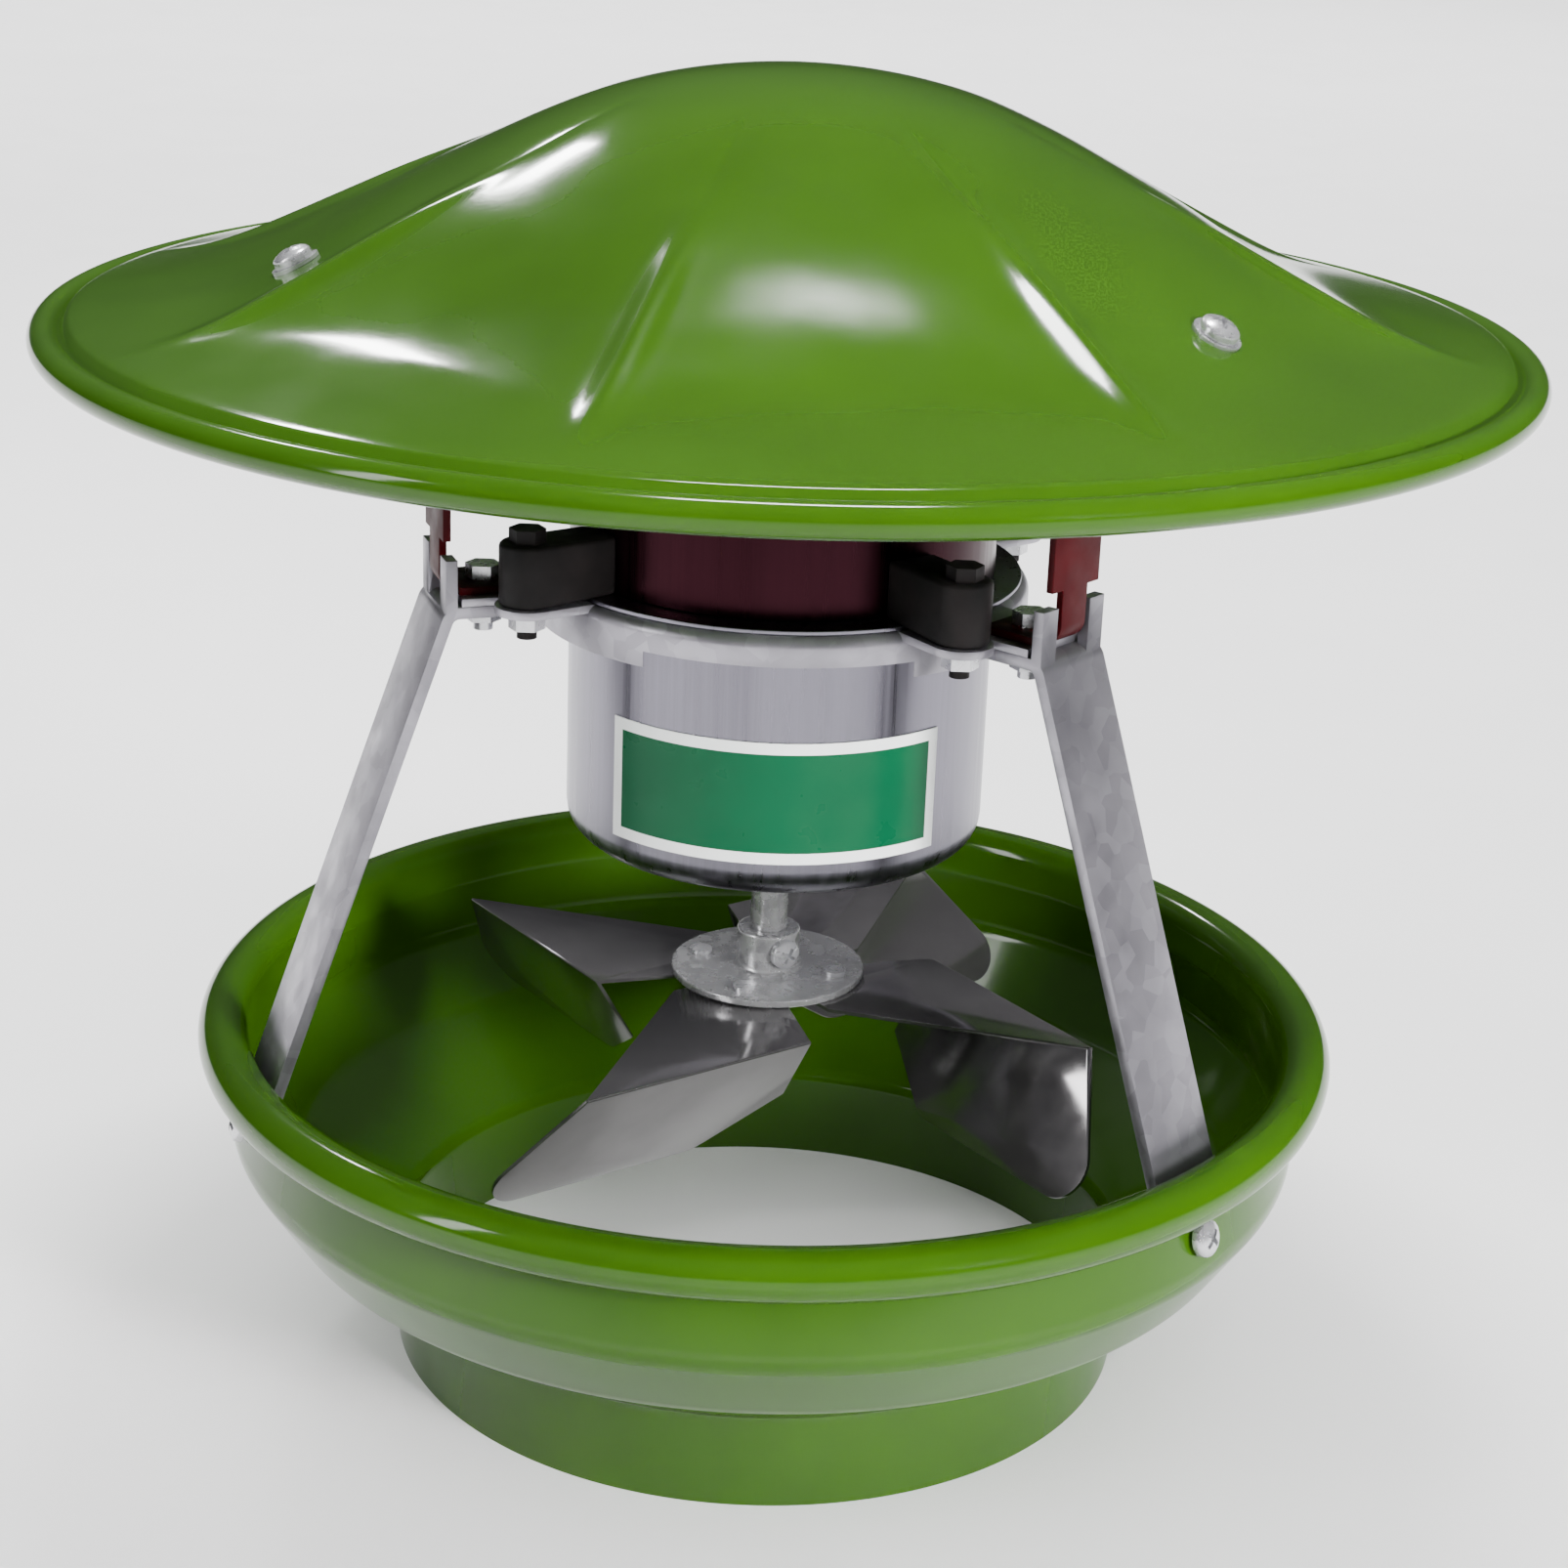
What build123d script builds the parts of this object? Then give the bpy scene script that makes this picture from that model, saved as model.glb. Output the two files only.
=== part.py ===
from build123d import *
import os
from math import atan, cos, floor, radians, sin, sqrt, tan

os.makedirs("parts", exist_ok=True)

# Chimney draught fan: a bowl that slips over the flue pipe, a motor hung inside on three legs,
# a four-bladed fan below the motor and a ridged rain cap above it.
# Z points up along the flue. The origin is the centre of the collar's lower edge.
# Lengths are millimetres, angles are degrees measured from +X about Z.

# Sheet metal and fits
sheet = 1.0  # pressed sheet of the cap and the bowl
seat_gap = 0.05  # gap where one piece is clamped on another
run_gap = 0.04  # radial gap of the shaft in its bearings
hole_gap = 0.4  # radial gap of a bolt in its hole

# Bowl, given by its inner skin
flue_r = 100.2  # collar bore, slips over a 200 mm flue pipe
collar_h = 26.0
collar_bend_r = 5.0
cone_r = 132.0  # where the sloping underside turns up
cone_z = 46.0
cone_bend_r = 12.0
belly_r = 145.0  # widest place of the wall
belly_z = 66.0
belly_bend_r = 8.0
throat_in = 4.8  # how far the wall leans in above the belly
throat_z = 84.0
throat_bend_r = 6.0
rim_z = 91.5  # centre of the rolled rim
rim_bead_r = 5.65
rim_curl = 240.0

# Cap, given by its outer skin
cap_r = 187.5
cap_z = 280.9  # level that the cap's heights are measured from
cap_rise = 64.0
ridge_count = 8
ridge_phase = 30.0
ridge_slope = 0.475
ridge_foot_h = 8.0
ridge_round = 10.0  # rounding of a ridge, seen from above
ridge_run_out = 12.0  # how far the facets run on below the brim
peak_r = 14.0  # where the facets end, above the crown
brim_overlap = 38.5  # how far the brim runs in below the facets
brim_slope = 0.19
cap_bead_r = 4.0
cap_bead_h = -1.5
cap_groove_w = 1.8  # run of the step from the brim down into the groove
cap_curl = 300.0
bead_start = 150.0

# Legs, stays and bracket
support_azimuths = (320.0, 200.0, 80.0)
plate_z = 218.0  # top of the bracket plate
plate_t = 2.0
plate_bend_r = 3.0
lip_r = 64.0
lip_h = 11.5
lip_notch_h = 4.0
lip_notch_w = 66.0
arm_r = 88.0
arm_w = 25.0
leg_t = 3.0
leg_fold_r = 92.0
leg_fold_bend = 5.0
leg_tab_r = 67.0
foot_z = 68.5  # lower end of the foot against the bowl wall
foot_hole_z = 76.0
foot_bend_r = 20.0
foot_clear = 0.15
prong_w = 6.0
prong_h = 12.0
stay_t = 2.0
stay_w = 19.0
stay_neck_w = 10.0
stay_tab_r = 72.0
stay_neck_top = 14.0  # height of the narrow neck above the plate
stay_lean_z = 256.0  # where the upright starts to lean outward
stay_lean_bend = 16.0
stay_bend_r = 5.0
stay_top_r = 112.0  # where the stay turns over under the cap
stay_flange = 27.0  # length of the stay's turned-over end, seen from above
cap_bolt_in = 13.0  # distance of the cap bolt from the turn
ridge_past_bolt = 29.0  # how far a ridge runs on past the cap bolts before it meets the brim
frame_bolt_at = 79.5

# Motor
motor_r = 55.0
motor_wall = 1.5
motor_bottom_z = 146.0
motor_corner_r = 8.0
motor_top_z = 268.0
motor_crown_r = 11.0
ring_clear = 0.8  # radial gap between the lower shell and the bracket ring
flange_r = 62.0
flange_t = 1.2
ear_phase = 35.0
ear_count = 4
ear_w = 14.0
ear_h = 16.0
motor_bolt_at = 76.0
pad_r = 8.0
bearing_r = 13.0
bearing_h = 8.0
bearing_boss_t = 3.0
bearing_shoulder_r = 9.0
shaft_r = 5.0
shaft_end_z = 84.0
shaft_chamfer = 1.0
shaft_hole_r = 8.0
stator_z = 172.0
stator_h = 34.0
stator_bore_r = 29.0
winding_r = 50.0
winding_bore_r = 34.0
winding_h = 11.0
winding_round = 3.0
air_gap = 0.6
plate_label_z = 156.3
plate_label_h = 31.9
plate_label_span = 94.0
plate_label_t = 0.4
front_azimuth = 270.0

# Cable entry on the hidden side
grommet_azimuth = 100.0
grommet_z = 244.0
grommet_r = 5.0
grommet_bore_r = 3.0
grommet_lip = 2.5
grommet_lip_t = 1.8

# Fan
hub_z = 104.0  # underside of the hub disc
hub_disc_r = 26.0
hub_disc_t = 2.0
hub_boss_r = 8.5
hub_boss_h = 13.0
hub_fillet = 1.5
set_screw_azimuth = 300.0
set_screw_r = 2.5
set_screw_head_r = 4.0
set_screw_head_h = 3.0
set_screw_up = 8.0
blade_count = 4
blade_phase = 63.0
blade_t = 1.0
blade_tip_r = 112.0
blade_foot_in = 11.0  # where the flat foot starts under the disc
blade_foot_lead = 9.0
blade_foot_trail = 7.0
blade_foot_wide = 14.5  # trailing corner of the foot at the edge of the disc
fold_in = 35.0  # start of the slanting fold, along and across the blade
fold_lead = 31.0
fold_tip_in = 17.0  # how far the fold stops short of the tip
blade_pitch = 59.0  # slope of the blade below its fold
blade_chord = 38.5
heel_chord = 22.0
heel_run = 23.0
tip_round = 9.0
rivet_at = 19.0
rivet_across = 3.0
rivet_r = 1.6
rivet_head_r = 3.0
rivet_head_h = 1.2

# Bolts and nuts, M5
bolt_r = 2.5
head_r = 4.6
head_h = 3.4
nut_r = 4.6
nut_h = 4.0
bolt_past_nut = 2.5
washer_r = 6.0
washer_t = 0.9
hex_sides = 6

# Worked-out sizes
throat_r = belly_r - throat_in
stay_end_r = stay_top_r + stay_flange
cap_bolt_at = stay_top_r + cap_bolt_in
ridge_foot_r = cap_bolt_at + ridge_past_bolt
half_facet = 180.0 / ridge_count
facet_tilt = atan(ridge_slope / cos(radians(half_facet)))
apex_h = ridge_foot_h + ridge_foot_r * ridge_slope
plate_under = plate_z - plate_t
motor_bore_r = motor_r - motor_wall
shell_joint_z = plate_z + seat_gap + flange_t + seat_gap
hole_r = bolt_r + hole_gap
ear_azimuths = [ear_phase + 360.0 / ear_count * index for index in range(ear_count)]


def radial_plane(azimuth):
    """Plane through the axis at an azimuth: local x runs outward and local y runs up."""
    angle = radians(azimuth)
    return Plane(origin=(0, 0, 0), x_dir=(cos(angle), sin(angle), 0), z_dir=(sin(angle), -cos(angle), 0))


def polar(radius, azimuth, height):
    """Point from its radius, azimuth and height."""
    angle = radians(azimuth)
    return Vector(radius * cos(angle), radius * sin(angle), height)


def wall_r(height):
    """Inner radius of the bowl's leaning wall at a height."""
    share = (height - belly_z) / (throat_z - belly_z)
    return belly_r + (throat_r - belly_r) * share


def facet_azimuth(azimuth):
    """Azimuth of the middle of the cap facet that holds an azimuth."""
    pitch = 360.0 / ridge_count
    return ridge_phase + (floor((azimuth - ridge_phase) / pitch) + 0.5) * pitch


def facet_z(radius, azimuth):
    """Height of the cap's outer skin on the facet at an azimuth."""
    off_middle = radians(azimuth - facet_azimuth(azimuth))
    return cap_z + apex_h - tan(facet_tilt) * radius * cos(off_middle)


def brim_z(radius):
    """Height of the outer skin of the cap's brim."""
    return cap_z + ridge_foot_h + (ridge_foot_r - radius) * brim_slope


def add_hex(plane, radius, amount, bore=0.0):
    """Add a six-sided prism to the open part, with a bore for a nut."""
    with BuildSketch(plane) as outline:
        RegularPolygon(radius, hex_sides)
        if bore > 0:
            Circle(bore, mode=Mode.SUBTRACT)
    extrude(outline.sketch, amount=amount)


def add_round(plane, radius, amount, bore=0.0, mode=Mode.ADD):
    """Add a round piece to the open part, or cut it out."""
    with BuildSketch(plane) as outline:
        Circle(radius)
        if bore > 0:
            Circle(bore, mode=Mode.SUBTRACT)
    extrude(outline.sketch, amount=amount, mode=mode)


def add_bolt(seat, grip):
    """Add a hex bolt to the open part: head above its seat, shank through the grip and past the nut."""
    add_hex(seat.offset(seat_gap), head_r, head_h)
    add_round(seat.offset(seat_gap), bolt_r, -(grip + nut_h + bolt_past_nut))


def add_nut(seat, grip):
    """Add the nut that closes the grip below a bolt's seat."""
    add_hex(seat.offset(-grip - seat_gap), nut_r, -nut_h, bore=bolt_r + seat_gap)


# Base bowl: collar, sloping underside, leaning wall and rolled rim
foot_wall_tilt = atan(throat_in / (throat_z - belly_z))


def foot_seat(azimuth, outward):
    """Plane across a foot bolt, a distance outward of the bowl's inner skin."""
    radius = wall_r(foot_hole_z) + outward * cos(foot_wall_tilt)
    height = foot_hole_z + outward * sin(foot_wall_tilt)
    angle = radians(azimuth)
    normal = (cos(foot_wall_tilt) * cos(angle), cos(foot_wall_tilt) * sin(angle), sin(foot_wall_tilt))
    return Plane(origin=polar(radius, azimuth, height), z_dir=normal)


with BuildPart() as base_bowl:
    with BuildSketch(Plane.XZ):
        with BuildLine():
            FilletPolyline(
                (flue_r, 0),
                (flue_r, collar_h),
                (cone_r, cone_z),
                (belly_r, belly_z),
                (throat_r, throat_z),
                (throat_r, rim_z),
                radius=[collar_bend_r, cone_bend_r, belly_bend_r, throat_bend_r],
            )
            CenterArc((throat_r + rim_bead_r, rim_z), rim_bead_r, 180, -rim_curl)
            offset(amount=sheet, side=Side.RIGHT)
        make_face()
    revolve(axis=Axis.Z)
    for azimuth in support_azimuths:
        add_round(foot_seat(azimuth, -sheet), hole_r, 3 * sheet, mode=Mode.SUBTRACT)
base_bowl.part.label = "base_bowl"
export_step(base_bowl.part, "parts/base_bowl.step")


# Rain cap: eight facets that meet in rounded ridges, a domed crown, a brim and a rolled edge
bead_middle_r = cap_r - cap_bead_r
bead_middle_z = cap_z + cap_bead_h
groove_r = bead_middle_r + cap_bead_r * cos(radians(bead_start))
groove_z = bead_middle_z + cap_bead_r * sin(radians(bead_start))
brim_end_r = groove_r - cap_groove_w
crown_tilt = atan(ridge_slope)
crown_r = (apex_h - cap_rise) / (ridge_slope * sin(crown_tilt) - 1 + cos(crown_tilt))
crown_middle_z = cap_z + cap_rise - crown_r


def cap_form(inset):
    """Solid below the cap's outer skin, with the skin set in by a distance."""
    drop = inset / cos(facet_tilt)
    foot_r = ridge_foot_r + ridge_run_out
    with BuildPart() as form:
        with BuildSketch(Plane.XY.offset(cap_z + apex_h - ridge_slope * foot_r - drop)) as foot:
            RegularPolygon(foot_r, ridge_count, rotation=ridge_phase)
            fillet(foot.vertices(), ridge_round)
        with BuildSketch(Plane.XY.offset(cap_z + apex_h - ridge_slope * peak_r - drop)) as peak:
            RegularPolygon(peak_r, ridge_count, rotation=ridge_phase)
            fillet(peak.vertices(), ridge_round)
        loft([foot.sketch.face(), peak.sketch.face()], ruled=True)
        radius = crown_r - inset
        edge = (radius * sin(crown_tilt), crown_middle_z + radius * cos(crown_tilt))
        middle = (radius * sin(crown_tilt / 2), crown_middle_z + radius * cos(crown_tilt / 2))
        with BuildSketch(Plane.XZ) as above_crown:
            with BuildLine():
                ThreePointArc((0, crown_middle_z + radius), middle, edge)
                Polyline(edge, (edge[0], cap_z + apex_h), (0, cap_z + apex_h), (0, crown_middle_z + radius))
            make_face()
        revolve(above_crown.sketch, axis=Axis.Z, mode=Mode.SUBTRACT)
        brim_drop = inset / cos(atan(brim_slope))
        inner_r = ridge_foot_r - brim_overlap - inset
        outer_r = brim_end_r + inset
        low_z = cap_z - 2 * cap_bead_r - inset
        with BuildSketch(Plane.XZ) as brim:
            with BuildLine():
                Polyline(
                    (inner_r, low_z),
                    (outer_r, low_z),
                    (outer_r, brim_z(outer_r) - brim_drop),
                    (inner_r, brim_z(inner_r) - brim_drop),
                    close=True,
                )
            make_face()
        revolve(brim.sketch, axis=Axis.Z)
    return form.part


def cap_bolt_plane(azimuth):
    """Plane on the cap's outer skin at a cap bolt, square to its facet."""
    angle = radians(facet_azimuth(azimuth))
    normal = (sin(facet_tilt) * cos(angle), sin(facet_tilt) * sin(angle), cos(facet_tilt))
    return Plane(origin=polar(cap_bolt_at, azimuth, facet_z(cap_bolt_at, azimuth)), z_dir=normal)


with BuildPart() as cap:
    add(cap_form(0.0))
    add(cap_form(sheet), mode=Mode.SUBTRACT)
    with BuildSketch(Plane.XZ):
        with BuildLine():
            Polyline(
                (brim_end_r - cap_groove_w, brim_z(brim_end_r - cap_groove_w)),
                (brim_end_r, brim_z(brim_end_r)),
                (groove_r, groove_z),
            )
            CenterArc((bead_middle_r, bead_middle_z), cap_bead_r, bead_start, -cap_curl)
            offset(amount=sheet, side=Side.LEFT)
        make_face()
    revolve(axis=Axis.Z)
    for azimuth in support_azimuths:
        add_round(cap_bolt_plane(azimuth).offset(sheet), hole_r, -3 * sheet, mode=Mode.SUBTRACT)
cap.part.label = "cap"
export_step(cap.part, "parts/cap.step")


# Motor bracket: ring plate with a downturned lip, three arms and four pads
with BuildPart() as motor_bracket:
    with BuildSketch(Plane.XZ):
        with BuildLine():
            FilletPolyline(
                (motor_r + ring_clear, plate_z),
                (lip_r, plate_z),
                (lip_r, plate_z - lip_h),
                radius=plate_bend_r,
            )
            offset(amount=plate_t, side=Side.RIGHT)
        make_face()
    revolve(axis=Axis.Z)
    notch_floor = plate_z - lip_h
    with BuildSketch(Plane.XY.offset(notch_floor)):
        with Locations(polar(lip_r, front_azimuth, 0)):
            Rectangle(lip_notch_w, lip_r)
    extrude(amount=lip_notch_h, mode=Mode.SUBTRACT)
    arm_start = (motor_r + ring_clear + lip_r - plate_bend_r) / 2
    with BuildSketch(Plane.XY.offset(plate_under)) as arms:
        for azimuth in support_azimuths:
            with Locations(Location(polar((arm_start + arm_r) / 2, azimuth, 0), azimuth)):
                Rectangle(arm_r - arm_start, arm_w)
        for azimuth in ear_azimuths:
            with Locations(Location(polar((arm_start + motor_bolt_at) / 2, azimuth, 0), azimuth)):
                Rectangle(motor_bolt_at - arm_start, 2 * pad_r)
            with Locations(polar(motor_bolt_at, azimuth, 0)):
                Circle(pad_r)
        for azimuth in support_azimuths:
            with Locations(polar(frame_bolt_at, azimuth, 0)):
                Circle(hole_r, mode=Mode.SUBTRACT)
        for azimuth in ear_azimuths:
            with Locations(polar(motor_bolt_at, azimuth, 0)):
                Circle(hole_r, mode=Mode.SUBTRACT)
    extrude(amount=plate_t)
motor_bracket.part.label = "motor_bracket"
export_step(motor_bracket.part, "parts/motor_bracket.step")


# Legs: tab under an arm, long slanting bar, foot along the bowl wall, two prongs at the fold
leg_top = plate_under - seat_gap
wall_sag = belly_r - sqrt(belly_r**2 - (arm_w / 2) ** 2)
foot_in = wall_sag + foot_clear

for index, azimuth in enumerate(support_azimuths, start=1):
    with BuildPart() as leg:
        with BuildSketch(radial_plane(azimuth)):
            with BuildLine():
                FilletPolyline(
                    (leg_tab_r, leg_top),
                    (leg_fold_r, leg_top),
                    (throat_r - foot_in, throat_z),
                    (wall_r(foot_z) - foot_in, foot_z),
                    radius=[leg_fold_bend, foot_bend_r],
                )
                offset(amount=leg_t, side=Side.RIGHT)
            make_face()
        extrude(amount=arm_w / 2, both=True)
        prong_middle_r = leg_fold_r - leg_t / 2
        angle = radians(azimuth)
        across = Vector(-sin(angle), cos(angle), 0)
        for side in (-1, 1):
            middle = polar(prong_middle_r, azimuth, leg_top - leg_t / 2) + across * side * (arm_w - prong_w) / 2
            with BuildSketch(Plane(origin=middle, x_dir=(cos(angle), sin(angle), 0))):
                Rectangle(leg_t, prong_w)
            extrude(amount=prong_h + leg_t / 2)
        bolt_spot = Plane(origin=polar(frame_bolt_at, azimuth, leg_top))
        add_round(bolt_spot.offset(leg_t), hole_r, -3 * leg_t, mode=Mode.SUBTRACT)
        add_round(foot_seat(azimuth, leg_t), hole_r, -4 * leg_t, mode=Mode.SUBTRACT)
    leg.part.label = f"leg_{index}"
    export_step(leg.part, f"parts/leg_{index}.step")


# Cap stays: foot on an arm, narrow neck between the prongs, upright, lean and flange under the cap
stay_foot_z = plate_z + seat_gap
stay_up_r = leg_fold_r


def stay_drop(azimuth):
    """Distance that a stay's level flange stays below the slanting facet, at the stay's middle."""
    off_middle = radians(azimuth - facet_azimuth(azimuth))
    return tan(facet_tilt) * abs(sin(off_middle)) * stay_w / 2 + seat_gap / cos(facet_tilt)


def stay_flange_z(radius, azimuth):
    """Height of the underside of a stay's flange."""
    off_middle = radians(azimuth - facet_azimuth(azimuth))
    slope = tan(facet_tilt) * cos(off_middle)
    skin = facet_z(radius, azimuth) - sheet / cos(facet_tilt)
    return skin - stay_drop(azimuth) - stay_t / cos(atan(slope))


for index, azimuth in enumerate(support_azimuths, start=1):
    with BuildPart() as cap_stay:
        with BuildSketch(radial_plane(azimuth)):
            with BuildLine():
                FilletPolyline(
                    (stay_tab_r, stay_foot_z),
                    (stay_up_r, stay_foot_z),
                    (stay_up_r, stay_lean_z),
                    (stay_top_r, stay_flange_z(stay_top_r, azimuth)),
                    (stay_end_r, stay_flange_z(stay_end_r, azimuth)),
                    radius=[stay_bend_r, stay_lean_bend, stay_bend_r],
                )
                offset(amount=stay_t, side=Side.LEFT)
            make_face()
        extrude(amount=stay_w / 2, both=True)
        angle = radians(azimuth)
        across = Vector(-sin(angle), cos(angle), 0)
        neck_cut = (stay_w - stay_neck_w) / 2
        for side in (-1, 1):
            offset_side = across * side * (stay_neck_w + neck_cut) / 2
            middle = polar(stay_up_r, azimuth, stay_foot_z - seat_gap / 2) + offset_side
            with BuildSketch(Plane(origin=middle, x_dir=(cos(angle), sin(angle), 0))):
                Rectangle(4 * stay_t, neck_cut)
            extrude(amount=stay_neck_top, mode=Mode.SUBTRACT)
        bolt_spot = Plane(origin=polar(frame_bolt_at, azimuth, stay_foot_z))
        add_round(bolt_spot.offset(2 * stay_t), hole_r, -3 * stay_t, mode=Mode.SUBTRACT)
        add_round(cap_bolt_plane(azimuth), hole_r, -6 * stay_t, mode=Mode.SUBTRACT)
    cap_stay.part.label = f"cap_stay_{index}"
    export_step(cap_stay.part, f"parts/cap_stay_{index}.step")


# Motor lower shell: drawn can with a thin flange on the bracket ring and a bearing seat below
bearing_seat_r = bearing_r + seat_gap
bearing_boss_r = bearing_seat_r + bearing_boss_t
lower_bearing_z = motor_bottom_z + motor_wall + seat_gap

with BuildPart() as motor_lower_shell:
    flange_z = plate_z + seat_gap + flange_t
    with BuildSketch(Plane.XZ):
        with BuildLine():
            FilletPolyline(
                (flange_r, flange_z),
                (motor_bore_r, flange_z),
                (motor_bore_r, motor_bottom_z + motor_wall),
                (shaft_hole_r, motor_bottom_z + motor_wall),
                (shaft_hole_r, motor_bottom_z),
                (motor_r, motor_bottom_z),
                (motor_r, plate_z + seat_gap),
                (flange_r, plate_z + seat_gap),
                radius=[0, motor_corner_r - motor_wall, 0, 0, motor_corner_r, 0],
            )
            Line((flange_r, plate_z + seat_gap), (flange_r, flange_z))
        make_face()
    revolve(axis=Axis.Z)
    with BuildSketch(Plane.XY.offset(motor_bottom_z + motor_wall)):
        Circle(bearing_boss_r)
        Circle(bearing_seat_r, mode=Mode.SUBTRACT)
    extrude(amount=bearing_h)
motor_lower_shell.part.label = "motor_lower_shell"
export_step(motor_lower_shell.part, "parts/motor_lower_shell.step")


# Motor upper shell: closed crown with a bearing seat inside and four bolt ears
crown_inside_z = motor_top_z - motor_wall
upper_bearing_top = crown_inside_z - bearing_boss_t
upper_bearing_z = upper_bearing_top - seat_gap - bearing_h
shaft_top_z = upper_bearing_top
grommet_angle = radians(grommet_azimuth)
grommet_out = (cos(grommet_angle), sin(grommet_angle), 0)

with BuildPart() as motor_upper_shell:
    with BuildSketch(Plane.XZ):
        with BuildLine():
            FilletPolyline(
                (motor_bore_r, shell_joint_z),
                (motor_r, shell_joint_z),
                (motor_r, motor_top_z),
                (0, motor_top_z),
                radius=[0, motor_crown_r],
            )
            FilletPolyline(
                (0, motor_top_z),
                (0, crown_inside_z),
                (motor_bore_r, crown_inside_z),
                (motor_bore_r, shell_joint_z),
                radius=[0, motor_crown_r - motor_wall],
            )
        make_face()
    revolve(axis=Axis.Z)
    with BuildSketch(Plane.XZ):
        with BuildLine():
            Polyline(
                (bearing_shoulder_r, crown_inside_z),
                (bearing_shoulder_r, upper_bearing_top),
                (bearing_seat_r, upper_bearing_top),
                (bearing_seat_r, upper_bearing_z),
                (bearing_boss_r, upper_bearing_z),
                (bearing_boss_r, crown_inside_z),
                close=True,
            )
        make_face()
    revolve(axis=Axis.Z)
    ear_start = (motor_bore_r + motor_r) / 2
    for azimuth in ear_azimuths:
        with BuildSketch(Plane.XY.offset(shell_joint_z)):
            with Locations(Location(polar((ear_start + motor_bolt_at) / 2, azimuth, 0), azimuth)):
                Rectangle(motor_bolt_at - ear_start, ear_w)
            with Locations(polar(motor_bolt_at, azimuth, 0)):
                Circle(ear_w / 2)
        extrude(amount=plate_z + ear_h - shell_joint_z)
        add_round(Plane(origin=polar(motor_bolt_at, azimuth, plate_z + seat_gap)), ear_w / 2, 2 * flange_t)
        ear_top = Plane(origin=polar(motor_bolt_at, azimuth, plate_z + ear_h))
        add_round(ear_top, hole_r, -2 * ear_h, mode=Mode.SUBTRACT)
    grommet_plane = Plane(origin=polar(motor_r - grommet_r, grommet_azimuth, grommet_z), z_dir=grommet_out)
    add_round(grommet_plane, grommet_r, 2 * grommet_r, mode=Mode.SUBTRACT)
motor_upper_shell.part.label = "motor_upper_shell"
export_step(motor_upper_shell.part, "parts/motor_upper_shell.step")


# Rating plate: bare curved plate on the front of the lower shell
with BuildPart() as rating_plate:
    plate_inner_r = motor_r + seat_gap
    with BuildSketch(Plane.XY.offset(plate_label_z)):
        with BuildLine():
            start = front_azimuth - plate_label_span / 2
            inner = CenterArc((0, 0), plate_inner_r, start, plate_label_span)
            outer = CenterArc((0, 0), plate_inner_r + plate_label_t, start, plate_label_span)
            Line(inner @ 0, outer @ 0)
            Line(inner @ 1, outer @ 1)
        make_face()
    extrude(amount=plate_label_h)
rating_plate.part.label = "rating_plate"
export_step(rating_plate.part, "parts/rating_plate.step")


# Cable grommet: soft ring in the upper shell's wall, on the hidden side
with BuildPart() as cable_grommet:
    neck_r = grommet_r - seat_gap
    lip_outer_r = grommet_r + grommet_lip
    outer_face = motor_r + seat_gap
    inner_face = sqrt(motor_bore_r**2 - lip_outer_r**2) - seat_gap
    neck_plane = Plane(origin=polar(inner_face, grommet_azimuth, grommet_z), z_dir=grommet_out)
    add_round(neck_plane, neck_r, outer_face - inner_face, bore=grommet_bore_r)
    add_round(neck_plane, lip_outer_r, -grommet_lip_t, bore=grommet_bore_r)
    add_round(neck_plane.offset(outer_face - inner_face), lip_outer_r, grommet_lip_t, bore=grommet_bore_r)
cable_grommet.part.label = "cable_grommet"
export_step(cable_grommet.part, "parts/cable_grommet.step")


# Stator core and its windings
with BuildPart() as stator_core:
    with BuildSketch(Plane.XY.offset(stator_z)):
        Circle(motor_bore_r - seat_gap)
        Circle(stator_bore_r, mode=Mode.SUBTRACT)
    extrude(amount=stator_h)
stator_core.part.label = "stator_core"
export_step(stator_core.part, "parts/stator_core.step")

with BuildPart() as stator_windings:
    for level in (stator_z - seat_gap - winding_h, stator_z + stator_h + seat_gap):
        with BuildSketch(Plane.XZ):
            with Locations(((winding_bore_r + winding_r) / 2, level + winding_h / 2)):
                RectangleRounded(winding_r - winding_bore_r, winding_h, winding_round)
        revolve(axis=Axis.Z)
stator_windings.part.label = "stator_windings"
export_step(stator_windings.part, "parts/stator_windings.step")


# Turning parts inside the motor: rotor core on the shaft
with BuildPart() as rotor_core:
    with BuildSketch(Plane.XY.offset(stator_z)):
        Circle(stator_bore_r - air_gap)
        Circle(shaft_r + seat_gap, mode=Mode.SUBTRACT)
    extrude(amount=stator_h)
rotor_core.part.label = "rotor_core"
export_step(rotor_core.part, "parts/rotor_core.step")

with BuildPart() as shaft:
    with BuildSketch(Plane.XY.offset(shaft_end_z)):
        Circle(shaft_r)
    extrude(amount=shaft_top_z - shaft_end_z)
    chamfer(shaft.edges().group_by(Axis.Z)[0], shaft_chamfer)
shaft.part.label = "shaft"
export_step(shaft.part, "parts/shaft.step")


# Ball bearings, drawn as closed rings
for name, level in (("lower_bearing", lower_bearing_z), ("upper_bearing", upper_bearing_z)):
    with BuildPart() as bearing:
        with BuildSketch(Plane.XY.offset(level)):
            Circle(bearing_r)
            Circle(shaft_r + run_gap, mode=Mode.SUBTRACT)
        extrude(amount=bearing_h)
    bearing.part.label = name
    export_step(bearing.part, f"parts/{name}.step")


# Fan hub: disc with a boss above it, clamped on the shaft by a set screw
set_screw_z = hub_z + set_screw_up
screw_angle = radians(set_screw_azimuth)
screw_out = (cos(screw_angle), sin(screw_angle), 0)
screw_plane = Plane(origin=polar(hub_boss_r, set_screw_azimuth, set_screw_z), z_dir=screw_out)


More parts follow.
